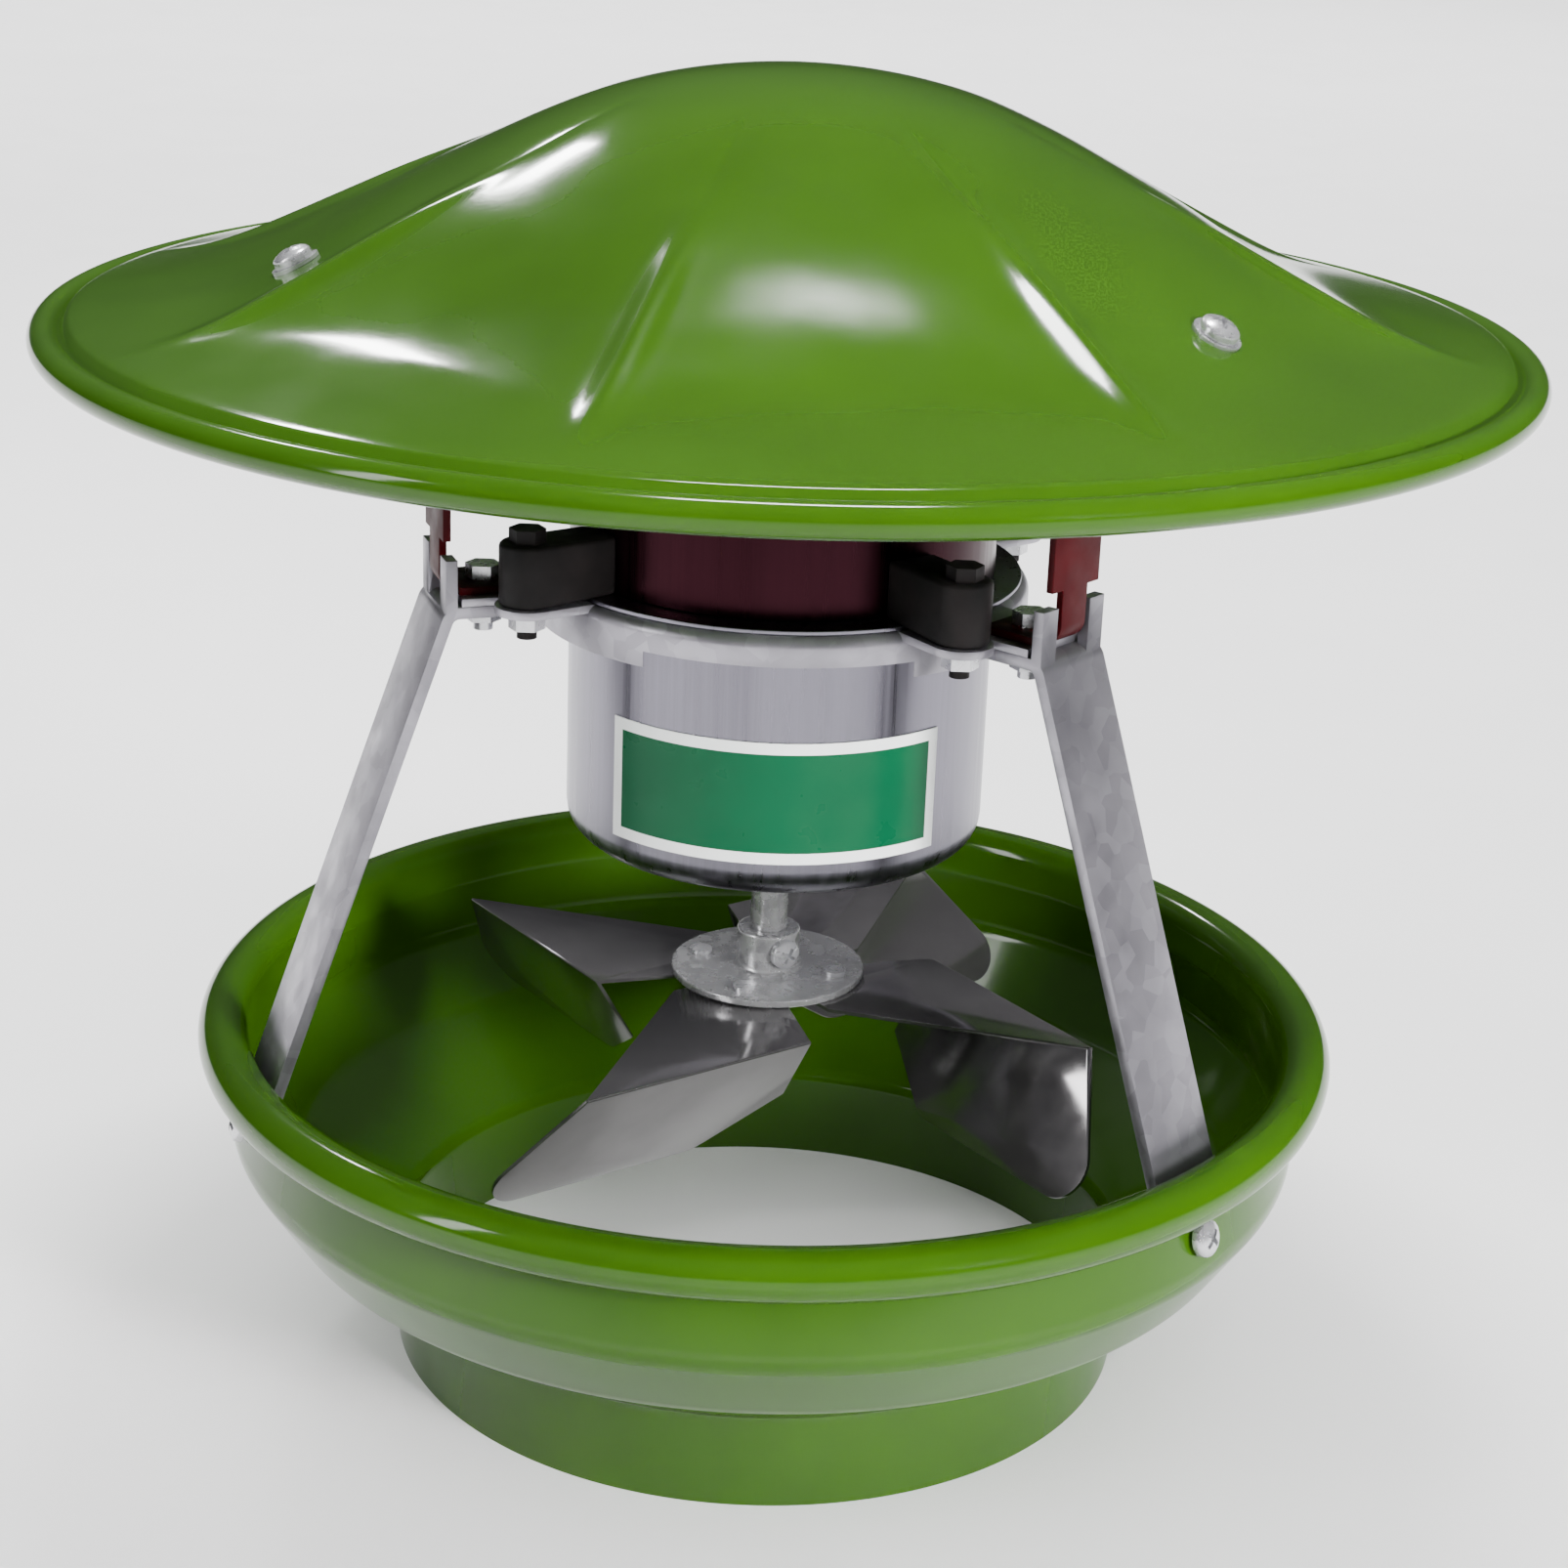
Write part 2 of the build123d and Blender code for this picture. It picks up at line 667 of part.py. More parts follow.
def blade_point(azimuth, outward, across, height):
    """Point given along and across a blade that lies at an azimuth."""
    angle = radians(azimuth)
    return polar(outward, azimuth, height) + Vector(-sin(angle), cos(angle), 0) * across


blade_azimuths = [blade_phase + 360.0 / blade_count * index for index in range(blade_count)]

with BuildPart() as fan_hub:
    with BuildSketch(Plane.XZ):
        with BuildLine():
            FilletPolyline(
                (shaft_r + seat_gap, hub_z),
                (hub_disc_r, hub_z),
                (hub_disc_r, hub_z + hub_disc_t),
                (hub_boss_r, hub_z + hub_disc_t),
                (hub_boss_r, hub_z + hub_boss_h),
                (shaft_r + seat_gap, hub_z + hub_boss_h),
                radius=[0, 0, hub_fillet, 0],
            )
            Line((shaft_r + seat_gap, hub_z + hub_boss_h), (shaft_r + seat_gap, hub_z))
        make_face()
    revolve(axis=Axis.Z)
    add_round(screw_plane.offset(seat_gap), set_screw_r, shaft_r - hub_boss_r, mode=Mode.SUBTRACT)
    for azimuth in blade_azimuths:
        spot = Plane(origin=blade_point(azimuth, rivet_at, rivet_across, hub_z - hub_disc_t))
        add_round(spot, rivet_r + seat_gap, 3 * hub_disc_t, mode=Mode.SUBTRACT)
fan_hub.part.label = "fan_hub"
export_step(fan_hub.part, "parts/fan_hub.step")

with BuildPart() as set_screw:
    add_hex(screw_plane.offset(seat_gap), set_screw_head_r, set_screw_head_h)
    add_round(screw_plane.offset(seat_gap), set_screw_r - seat_gap, shaft_r - hub_boss_r)
set_screw.part.label = "set_screw"
export_step(set_screw.part, "parts/set_screw.step")


# Fan blades: flat foot riveted under the hub disc, folded on a slant into a steep flat blade
blade_top_z = hub_z - seat_gap
fold_start = Vector(fold_in, fold_lead)
fold_end = Vector(blade_tip_r - fold_tip_in, 0)
fold_length = (fold_end - fold_start).length
fold_along = (fold_end - fold_start).normalized()
fold_back = Vector(fold_along.Y, -fold_along.X)


def blade_reach(down):
    """Distance along the fold to the circle of the tips, at a depth down the blade."""
    start = fold_start + fold_back * (down * cos(radians(blade_pitch)))
    along = start.dot(fold_along)
    return sqrt(blade_tip_r**2 - start.dot(start) + along**2) - along


for index, azimuth in enumerate(blade_azimuths, start=1):
    outward = polar(1, azimuth, 0)
    foot_plane = Plane(origin=(0, 0, blade_top_z - blade_t / 2), x_dir=outward)
    fold_origin = foot_plane.from_local_coords(fold_start)
    along = foot_plane.from_local_coords(fold_end) - fold_origin
    back = foot_plane.from_local_coords(fold_start + fold_back) - fold_origin
    down = back * cos(radians(blade_pitch)) - Vector(0, 0, sin(radians(blade_pitch)))
    with BuildPart() as fan_blade:
        with BuildSketch(foot_plane):
            with BuildLine():
                Polyline(
                    (blade_foot_in, -blade_foot_trail),
                    (hub_disc_r, -blade_foot_wide),
                    fold_end,
                    fold_start,
                    (blade_foot_in, blade_foot_lead),
                    close=True,
                )
            make_face()
        extrude(amount=blade_t / 2, both=True)
        with BuildSketch(Plane(origin=fold_origin, x_dir=along, z_dir=along.cross(down))) as outline:
            with BuildLine():
                Polyline(
                    (0, 0),
                    (0, heel_chord),
                    (heel_run, blade_chord),
                    (blade_reach(blade_chord), blade_chord),
                    (fold_length, 0),
                    close=True,
                )
            make_face()
            fillet(outline.vertices().group_by(Axis.Y)[-1], tip_round)
        extrude(amount=blade_t / 2, both=True)
        with BuildSketch(Plane(origin=fold_origin, z_dir=along)):
            Circle(blade_t / 2)
        extrude(amount=fold_length)
        spot = Plane(origin=blade_point(azimuth, rivet_at, rivet_across, blade_top_z - 2 * blade_t))
        add_round(spot, rivet_r + seat_gap, 3 * blade_t, mode=Mode.SUBTRACT)
    fan_blade.part.label = f"fan_blade_{index}"
    export_step(fan_blade.part, f"parts/fan_blade_{index}.step")

with BuildPart() as blade_rivets:
    for azimuth in blade_azimuths:
        upper = Plane(origin=blade_point(azimuth, rivet_at, rivet_across, hub_z + hub_disc_t + seat_gap))
        lower = Plane(origin=blade_point(azimuth, rivet_at, rivet_across, blade_top_z - blade_t - seat_gap))
        add_round(upper, rivet_head_r, rivet_head_h)
        add_round(lower, rivet_head_r, -rivet_head_h)
        add_round(lower, rivet_r, hub_disc_t + blade_t + 3 * seat_gap)
blade_rivets.part.label = "blade_rivets"
export_step(blade_rivets.part, "parts/blade_rivets.step")


# Cap bolts with washers outside and nuts under the stays
def cap_grip(azimuth):
    """Distance from the cap's skin to the nut, which clears the flange where it leans across the bolt."""
    off_middle = abs(sin(radians(azimuth - facet_azimuth(azimuth))))
    lean = sin(facet_tilt) * off_middle
    return sheet + stay_drop(azimuth) * cos(facet_tilt) + stay_t + nut_r * lean + seat_gap


with BuildPart() as cap_washers:
    for azimuth in support_azimuths:
        add_round(cap_bolt_plane(azimuth).offset(seat_gap), washer_r, washer_t, bore=hole_r)
cap_washers.part.label = "cap_washers"
export_step(cap_washers.part, "parts/cap_washers.step")

with BuildPart() as cap_bolts:
    for azimuth in support_azimuths:
        add_bolt(cap_bolt_plane(azimuth).offset(washer_t + seat_gap), washer_t + seat_gap + cap_grip(azimuth))
cap_bolts.part.label = "cap_bolts"
export_step(cap_bolts.part, "parts/cap_bolts.step")

with BuildPart() as cap_nuts:
    for azimuth in support_azimuths:
        add_nut(cap_bolt_plane(azimuth), cap_grip(azimuth))
cap_nuts.part.label = "cap_nuts"
export_step(cap_nuts.part, "parts/cap_nuts.step")


# Frame bolts through stay, arm and leg
frame_grip = stay_t + seat_gap + plate_t + seat_gap + leg_t


def frame_seat(azimuth):
    """Plane on top of a stay's foot at its bolt."""
    return Plane(origin=polar(frame_bolt_at, azimuth, stay_foot_z + stay_t))


with BuildPart() as frame_bolts:
    for azimuth in support_azimuths:
        add_bolt(frame_seat(azimuth), frame_grip)
frame_bolts.part.label = "frame_bolts"
export_step(frame_bolts.part, "parts/frame_bolts.step")

with BuildPart() as frame_nuts:
    for azimuth in support_azimuths:
        add_nut(frame_seat(azimuth), frame_grip)
frame_nuts.part.label = "frame_nuts"
export_step(frame_nuts.part, "parts/frame_nuts.step")


# Motor bolts through the ears and the bracket's pads
def ear_seat(azimuth):
    """Plane on top of a motor ear at its bolt."""
    return Plane(origin=polar(motor_bolt_at, azimuth, plate_z + ear_h))


with BuildPart() as motor_bolts:
    for azimuth in ear_azimuths:
        add_bolt(ear_seat(azimuth), ear_h + plate_t)
motor_bolts.part.label = "motor_bolts"
export_step(motor_bolts.part, "parts/motor_bolts.step")

with BuildPart() as motor_nuts:
    for azimuth in ear_azimuths:
        add_nut(ear_seat(azimuth), ear_h + plate_t)
motor_nuts.part.label = "motor_nuts"
export_step(motor_nuts.part, "parts/motor_nuts.step")


# Foot bolts through the bowl wall, heads outside and nuts on the legs
foot_grip = sheet + foot_in * cos(foot_wall_tilt) + leg_t

with BuildPart() as foot_bolts:
    for azimuth in support_azimuths:
        add_bolt(foot_seat(azimuth, sheet + seat_gap), foot_grip + seat_gap)
foot_bolts.part.label = "foot_bolts"
export_step(foot_bolts.part, "parts/foot_bolts.step")

with BuildPart() as foot_nuts:
    for azimuth in support_azimuths:
        add_nut(foot_seat(azimuth, sheet), foot_grip)
foot_nuts.part.label = "foot_nuts"
export_step(foot_nuts.part, "parts/foot_nuts.step")
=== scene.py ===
import math

import bpy
from bpy.props import FloatProperty, FloatVectorProperty, IntProperty, PointerProperty
from bpy.types import Operator, Panel, PropertyGroup
from mathutils import Matrix, Vector


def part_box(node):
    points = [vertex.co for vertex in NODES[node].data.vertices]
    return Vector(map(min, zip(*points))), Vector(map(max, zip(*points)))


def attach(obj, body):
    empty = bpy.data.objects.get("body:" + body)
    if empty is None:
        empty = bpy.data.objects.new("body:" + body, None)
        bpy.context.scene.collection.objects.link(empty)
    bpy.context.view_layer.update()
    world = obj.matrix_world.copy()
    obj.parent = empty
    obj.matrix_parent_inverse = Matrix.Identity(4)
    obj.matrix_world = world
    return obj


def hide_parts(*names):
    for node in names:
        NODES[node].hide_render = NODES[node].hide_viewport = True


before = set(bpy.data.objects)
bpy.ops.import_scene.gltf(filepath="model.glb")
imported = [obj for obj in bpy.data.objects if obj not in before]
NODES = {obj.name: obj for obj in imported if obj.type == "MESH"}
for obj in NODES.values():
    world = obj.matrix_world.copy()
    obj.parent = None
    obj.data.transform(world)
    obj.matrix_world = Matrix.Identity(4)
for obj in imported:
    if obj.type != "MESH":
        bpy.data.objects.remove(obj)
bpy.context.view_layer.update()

bl_info = {
    "name": "Chimney Draught Fan",
    "version": (1, 0, 0),
    "blender": (4, 5, 0),
    "location": "View3D > Sidebar > Draught Fan",
    "description": "Finishes the chimney draught fan and sets a plain studio around it",
    "category": "Object",
}

# The solid model: the bodies that pieces move with, and its unit of length
HOUSING = "housing"
ROTOR = "rotor"
MM = 0.001

# Extents of the solids that the new pieces stand for
CAP_LOW, CAP_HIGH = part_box("cap")
BOWL_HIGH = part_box("base_bowl")[1]
SHELL_LOW, SHELL_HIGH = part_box("motor_lower_shell")
CROWN_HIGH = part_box("motor_upper_shell")[1]
PLATE_LOW, PLATE_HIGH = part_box("rating_plate")
HUB_LOW, HUB_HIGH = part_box("fan_hub")
SHAFT_LOW, SHAFT_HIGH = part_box("shaft")

# Legs and stays, with their azimuths in degrees, and blades
SUPPORTS = (320.0, 200.0, 80.0)
LEGS = (1, 2, 3)
BLADES = (1, 2, 3, 4)

# Cap: radii where the swell comes and goes and where the ribs begin, and rings down to the rolled edge
DATUM_OVER_BEAD = 1.5 * MM
SWELL_COMES = (35.0 * MM, 72.0 * MM)
SWELL_GOES = (90.0 * MM, 122.0 * MM)
RIB_COMES = (66.0 * MM, 112.0 * MM)
BRIM_SOFTER = 1.6
CAP_BEAD_TURN = (-150.0, 150.0)
BEAD_STEPS = 28
GROOVE_IN = 0.7 * MM
GROOVE_UP = 0.5 * MM
SHOULDER_IN = 1.8 * MM
SHOULDER_DIP = 0.25 * MM
FIRST_RING_IN = 1.2 * MM
RING_STEP = 2.6 * MM
LAST_RING = 4.0 * MM
SHOULDER_MARGIN = 0.5 * MM

# Bowl: radius, height and rounding of each bend from the collar to the throat
COLLAR_RADIUS = 100.2 * MM
THROAT_RADIUS = 140.2 * MM
BOWL_BENDS = (
    (COLLAR_RADIUS, 26.0 * MM, 5.0 * MM),
    (132.0 * MM, 46.0 * MM, 12.0 * MM),
    (145.0 * MM, 66.0 * MM, 8.0 * MM),
    (THROAT_RADIUS, 84.0 * MM, 6.0 * MM),
)
BOWL_BEAD_TURN = (180.0, -60.0)

# Motor: shells, ears and spindle
MOTOR_RADIUS = 55.0 * MM
MOTOR_BORE = 53.5 * MM
MOTOR_WALL = 1.5 * MM
MOTOR_SEAT = 218.05 * MM
SHELL_GAP = 0.05 * MM
SPINDLE_HOLE = 8.0 * MM
CAN_ROUNDING = (8.0 * MM, 1.0 * MM, 0.3 * MM, 0.3 * MM, 0.3 * MM, 6.5 * MM, 0.2 * MM)
CROWN_ROUNDING = (0.4 * MM, 11.0 * MM)
CROWN_FLAT = 12.0 * MM
EAR_AZIMUTHS = (35.0, 125.0, 215.0, 305.0)
EAR_BOLT_AT = 76.0 * MM
EAR_RADIUS = 7.0 * MM
EAR_TOP = 234.0 * MM
EAR_ROOT_LOW = 219.35 * MM
EAR_SINK = 0.5 * MM
EAR_BEVEL = 1.2 * MM
EAR_STEPS = 48
SPINDLE_CENTRE = 0.6 * MM
SPINDLE_CHAMFER = 1.0 * MM
SPINDLE_RING = 130.0 * MM
SPINDLE_STEPS = 64

# Rating plate: inner radius, thickness, angles in degrees and grid cells across its border
PLATE_RADIUS = 55.06 * MM
PLATE_THICKNESS = 0.35 * MM
PLATE_AZIMUTH = 270.0
PLATE_HALF_SPAN = 47.0
BORDER_CELLS = 4.0

# Fan: hub and cut edges of the blades
HUB_BORE = 5.05 * MM
HUB_BOSS = 8.5 * MM
HUB_DISC = 2.0 * MM
HUB_ROUNDING = (0.4 * MM, 0.4 * MM, 1.5 * MM, 0.8 * MM, 0.3 * MM)
HUB_STEPS = 96
BLADE_BEVEL = 0.2 * MM

# Screws: head height, shank radius and length, where their heads sit, and the lean of the bowl's wall
CAP_SCREW = (3.4 * MM, 2.5 * MM, 13.0 * MM)
CAP_SCREW_AT = 125.0 * MM
CAP_SCREW_LIFT = 1.05 * MM
FOOT_SCREW = (3.2 * MM, 2.5 * MM, 10.5 * MM)
FOOT_SCREW_AT = 142.333 * MM
FOOT_SCREW_HEIGHT = 76.0 * MM
FOOT_SCREW_LIFT = 1.12 * MM
WALL_LEANS_IN = 4.8 * MM
WALL_GOES_UP = 18.0 * MM
HUB_SCREW = (3.0 * MM, 2.4 * MM, 3.4 * MM)
HUB_SCREW_HEAD = 4.0 * MM
HUB_SCREW_AT = 8.55 * MM
HUB_SCREW_HEIGHT = 112.0 * MM
HUB_SCREW_AZIMUTH = 300.0

# Shape of a round screw, as shares of its head's or its shank's size
SCREW_STEPS = 48
CROWN_SHARES = (0.15, 0.3, 0.45, 0.6, 0.75, 0.88, 0.96)
CROWN_DROP = 0.75
HEAD_SIDE = 0.42
POINT_CENTRE = 0.3
POINT_RADIUS = 0.8
POINT_LENGTH = 0.3
RECESS_LENGTH = 1.15
RECESS_WIDTH = 0.26
RECESS_MIDDLE = 0.95

# Modelling: distances for merging points and angles for flat faces and cut edges
MERGE = 1e-6
NODE_MERGE = 2e-6
FLAT_ANGLE = math.radians(0.5)
EDGE_ANGLE = math.radians(50.0)

# Middle range of a texture's values
TEXTURE_LOW = 0.3
TEXTURE_HIGH = 0.7

# Turned and plated metals: colour, lowest and highest roughness
METALS = {
    "bright_steel": ((0.55, 0.55, 0.56), 0.18, 0.34),
    "zinc_fastener": ((0.66, 0.66, 0.68), 0.20, 0.36),
    "core_steel": ((0.20, 0.20, 0.21), 0.40, 0.60),
    "winding_copper": ((0.62, 0.26, 0.10), 0.30, 0.50),
}
# Ears: near-black shades, painted shade of the deep shadow under the cap
EAR_SHADE_DARK = (0.003, 0.003, 0.003, 1.0)
EAR_SHADE_LIGHT = (0.010, 0.008, 0.008, 1.0)
RUBBER_DARK = (0.010, 0.010, 0.010, 1.0)
RUBBER_LIGHT = (0.028, 0.028, 0.028, 1.0)

# Solids that are shown as they are, and their finishes
CARRIED = {
    "stator_core": "core_steel",
    "stator_windings": "winding_copper",
    "rotor_core": "core_steel",
    "upper_bearing": "bright_steel",
    "lower_bearing": "bright_steel",
    "cable_grommet": "black_rubber",
    "blade_rivets": "zinc_fastener",
    "cap_washers": "zinc_fastener",
    "cap_nuts": "zinc_fastener",
    "frame_bolts": "zinc_fastener",
    "frame_nuts": "zinc_fastener",
    # The motor bolts on the ears take the same near-black painted shade as the ears
    "motor_bolts": "painted_shade_ear",
    "motor_nuts": "zinc_fastener",
    "foot_nuts": "zinc_fastener",
}

# Studio: floor, surround, wide light and camera, in metres and degrees
FLOOR_SIZE = 14.0
HORIZON = (0.10, (0.12, 0.12, 0.13, 1.0))
OVERHEAD = (0.80, (0.70, 0.70, 0.73, 1.0))
SURROUND_STRENGTH = 0.42
BACKDROP = (0.80, 0.80, 0.80, 1.0)
BACKDROP_STRENGTH = 0.95
WIDE_ANGLE = 70.0
FULL_SPREAD = 180.0
CAMERA_PLACE = (0.0, -0.7583, 0.4331)
CAMERA_TURN = -0.2
CAMERA_DOWN = 19.96
CAMERA_ROLL = 2.18
CAMERA_LENS = 69.65
CAMERA_SENSOR = 36.0
CAMERA_NEAR = 0.01


class FanSizes(PropertyGroup):
    """Sizes of the finished surfaces."""

    sheet: FloatProperty(
        name="Sheet",
        description="Thickness of the pressed cap and bowl",
        default=1.0 * MM,
        unit="LENGTH",
    )
    ridge_foot: FloatProperty(
        name="Ridge foot",
        description="Radius where a ridge runs out into the brim",
        default=154.0 * MM,
        unit="LENGTH",
    )
    ridge_foot_height: FloatProperty(
        name="Ridge foot height",
        description="Height of a ridge's foot above the cap's datum",
        default=8.0 * MM,
        unit="LENGTH",
    )
    ridge_slope: FloatProperty(
        name="Ridge slope",
        description="Rise of a ridge over its run",
        default=0.475,
    )
    ridge_phase: FloatProperty(
        name="Ridge phase",
        description="Azimuth of the first ridge",
        default=math.radians(30.0),
        subtype="ANGLE",
    )
    ridge_count: IntProperty(
        name="Ridges",
        description="Number of pressed ridges",
        default=8,
    )
    ridge_softness: FloatProperty(
        name="Ridge softness",
        description="How far a ridge's crest is rounded",
        default=1.0 * MM,
        unit="LENGTH",
    )
    facet_swell: FloatProperty(
        name="Facet swell",
        description="Swell of a facet's upper part towards the crown",
        default=1.9 * MM,
        unit="LENGTH",
    )
    rib_height: FloatProperty(
        name="Rib height",
        description="Height of the pressed rib along a ridge",
        default=2.0 * MM,
        unit="LENGTH",
    )
    rib_width: FloatProperty(
        name="Rib width",
        description="Half-width of the pressed rib",
        default=4.2 * MM,
        unit="LENGTH",
    )
    brim_slope: FloatProperty(
        name="Brim slope",
        description="Rise of the brim over its run",
        default=0.19,
    )
    cap_bead: FloatProperty(
        name="Cap bead",
        description="Radius of the cap's rolled edge",
        default=4.0 * MM,
        unit="LENGTH",
    )
    cap_steps: IntProperty(
        name="Cap steps",
        description="Points around the cap",
        default=480,
    )
    turn_steps: IntProperty(
        name="Turned steps",
        description="Points around a turned piece",
        default=192,
    )
    edge_bevel: FloatProperty(
        name="Edge bevel",
        description="Rounding of cut sheet edges",
        default=0.35 * MM,
        unit="LENGTH",
    )
    plate_border: FloatProperty(
        name="Plate border",
        description="Width of the rating plate's pale border",
        default=3.0 * MM,
        unit="LENGTH",
    )
    screw_head: FloatProperty(
        name="Screw head",
        description="Radius of a round screw head",
        default=4.8 * MM,
        unit="LENGTH",
    )


class FanColours(PropertyGroup):
    """Colours of the finishes."""

    enamel: FloatVectorProperty(
        name="Enamel",
        description="Green stove enamel",
        default=(0.022, 0.068, 0.0012),
        subtype="COLOR",
    )
    primer: FloatVectorProperty(
        name="Primer",
        description="Dark red primer on the stays",
        default=(0.030, 0.0006, 0.0016),
        subtype="COLOR",
    )
    # Crown: the upper shell is the lower shell's drawn steel; its darker, reddish colour is painted shade
    # from the cap and a painted reflection of red surroundings
    crown: FloatVectorProperty(
        name="Crown",
        description="Darker drawn steel of the motor's upper shell",
        default=(0.028, 0.008, 0.012),
        subtype="COLOR",
    )
    zinc: FloatVectorProperty(
        name="Zinc",
        description="Galvanised bars and bracket",
        default=(0.37, 0.355, 0.395),
        subtype="COLOR",
    )
    shell: FloatVectorProperty(
        name="Shell",
        description="Drawn steel of the motor",
        default=(0.22, 0.21, 0.25),
        subtype="COLOR",
    )
    blade: FloatVectorProperty(
        name="Blade",
        description="Polished sheet of the fan",
        default=(0.27, 0.26, 0.265),
        subtype="COLOR",
    )
    plate_field: FloatVectorProperty(
        name="Plate field",
        description="Printed field of the rating plate",
        default=(0.0015, 0.066, 0.026),
        subtype="COLOR",
    )
    plate_edge: FloatVectorProperty(
        name="Plate edge",
        description="Pale border of the rating plate",
        default=(0.75, 0.77, 0.76),
        subtype="COLOR",
    )
    floor: FloatVectorProperty(
        name="Floor",
        description="Studio floor",
        default=(0.90, 0.90, 0.90),
        subtype="COLOR",
    )


def sizes():
    """The scene's size settings."""
    return bpy.context.scene.fan_sizes


def colours():
    """The scene's colour settings."""
    return bpy.context.scene.fan_colours


# Finishes

def shade(colour, factor):
    """A colour made lighter or darker."""
    return tuple(min(1.0, channel * factor) for channel in colour) + (1.0,)


class Finish:
    """A node material with object coordinates and one shader."""

    def __init__(self, name):
        self.material = bpy.data.materials.new(name)
        self.material.use_nodes = True
        self.nodes = self.material.node_tree.nodes
        self.links = self.material.node_tree.links
        self.shader = self.nodes["Principled BSDF"]
        self.coordinates = self.nodes.new("ShaderNodeTexCoord").outputs["Object"]

    def set(self, **values):
        """Sets constant values on the shader's own sockets."""
        for name, value in values.items():
            self.shader.inputs[name.replace("_", " ")].default_value = value

    def stretched(self, scale):
        """Object coordinates scaled differently along each axis."""
        mapping = self.nodes.new("ShaderNodeMapping")
        mapping.inputs["Scale"].default_value = scale
        self.links.new(self.coordinates, mapping.inputs["Vector"])
        return mapping.outputs["Vector"]

    def noise(self, scale, detail=3.0, roughness=0.5, vector=None):
        """Noise in object space."""
        node = self.nodes.new("ShaderNodeTexNoise")
        node.inputs["Scale"].default_value = scale
        node.inputs["Detail"].default_value = detail
        node.inputs["Roughness"].default_value = roughness
        self.links.new(vector or self.coordinates, node.inputs["Vector"])
        return node.outputs["Fac"]

    def cells(self, scale):
        """Grey value that is constant in each crystal cell."""
        node = self.nodes.new("ShaderNodeTexVoronoi")
        node.inputs["Scale"].default_value = scale
        self.links.new(self.coordinates, node.inputs["Vector"])
        grey = self.nodes.new("ShaderNodeRGBToBW")
        self.links.new(node.outputs["Color"], grey.inputs["Color"])
        return grey.outputs["Val"]

    def ramp(self, value, first, second, low=TEXTURE_LOW, high=TEXTURE_HIGH):
        """Fades from one colour to another between two values of a texture."""
        node = self.nodes.new("ShaderNodeValToRGB")
        node.color_ramp.elements[0].position = low
        node.color_ramp.elements[0].color = first
        node.color_ramp.elements[1].position = high
        node.color_ramp.elements[1].color = second
        self.links.new(value, node.inputs["Fac"])
        return node.outputs["Color"]

    def tint(self, value, colour, first, second, low=TEXTURE_LOW, high=TEXTURE_HIGH):
        """Fades between two shades of one colour by a texture."""
        return self.ramp(value, shade(colour, first), shade(colour, second), low, high)

    def mixed(self, share, first, second):
        """Mix of two colours by a value."""
        node = self.nodes.new("ShaderNodeMix")
        node.data_type = "RGBA"
        self.links.new(share, node.inputs["Factor"])
        self.links.new(first, node.inputs[6])
        self.links.new(second, node.inputs[7])
        return node.outputs[2]

    def between(self, value, low, high):
        """A texture's middle values spread over a range."""
        node = self.nodes.new("ShaderNodeMapRange")
        node.inputs["From Min"].default_value = TEXTURE_LOW
        node.inputs["From Max"].default_value = TEXTURE_HIGH
        node.inputs["To Min"].default_value = low
        node.inputs["To Max"].default_value = high
        self.links.new(value, node.inputs["Value"])
        return node.outputs["Result"]

    def colour(self, socket):
        """Feeds the base colour."""
        self.links.new(socket, self.shader.inputs["Base Color"])

    def roughness(self, value, low, high):
        """Feeds the roughness from a texture."""
        self.links.new(self.between(value, low, high), self.shader.inputs["Roughness"])

    def bump(self, value, strength, distance):
        """Feeds the surface relief from a texture."""
        node = self.nodes.new("ShaderNodeBump")
        node.inputs["Strength"].default_value = strength
        node.inputs["Distance"].default_value = distance
        self.links.new(value, node.inputs["Height"])
        self.links.new(node.outputs["Normal"], self.shader.inputs["Normal"])


def enamel_finish():
    """Thick glossy stove enamel with a faint orange peel."""
    finish = Finish("green_enamel")
    cloud = finish.noise(scale=14.0, detail=4.0)
    finish.colour(finish.tint(cloud, colours().enamel, 0.82, 1.14, low=0.30, high=0.72))
    finish.roughness(finish.noise(scale=55.0), low=0.09, high=0.13)
    finish.bump(finish.noise(scale=620.0, detail=1.0), strength=0.05, distance=0.08 * MM)
    finish.set(Coat_Weight=0.10, Coat_Roughness=0.04, Specular_IOR_Level=0.27)
    return finish.material


def galvanised_finish():
    """Zinc spangle on folded bar, dulled in patches."""
    finish = Finish("galvanised_steel")
    colour = colours().zinc
    spangle = finish.tint(finish.cells(scale=190.0), colour, 0.80, 1.18, low=0.2, high=0.8)
    grime = finish.tint(finish.noise(scale=38.0, detail=6.0), colour, 1.05, 0.62, low=0.40, high=0.75)
    patches = finish.between(finish.noise(scale=16.0), low=0.25, high=0.75)
    finish.colour(finish.mixed(patches, spangle, grime))
    finish.roughness(finish.noise(scale=120.0, detail=5.0), low=0.30, high=0.50)
    finish.bump(finish.noise(scale=420.0), strength=0.12, distance=0.10 * MM)
    finish.set(Metallic=0.9)
    return finish.material


def primer_finish():
    """Thin dark red primer."""
    finish = Finish("red_primer")
    finish.colour(finish.tint(finish.noise(scale=60.0, detail=5.0), colours().primer, 0.7, 1.25))
    finish.roughness(finish.noise(scale=140.0), low=0.42, high=0.58)
    finish.bump(finish.noise(scale=520.0), strength=0.15, distance=0.08 * MM)
    finish.set(Specular_IOR_Level=0.10)
    return finish.material


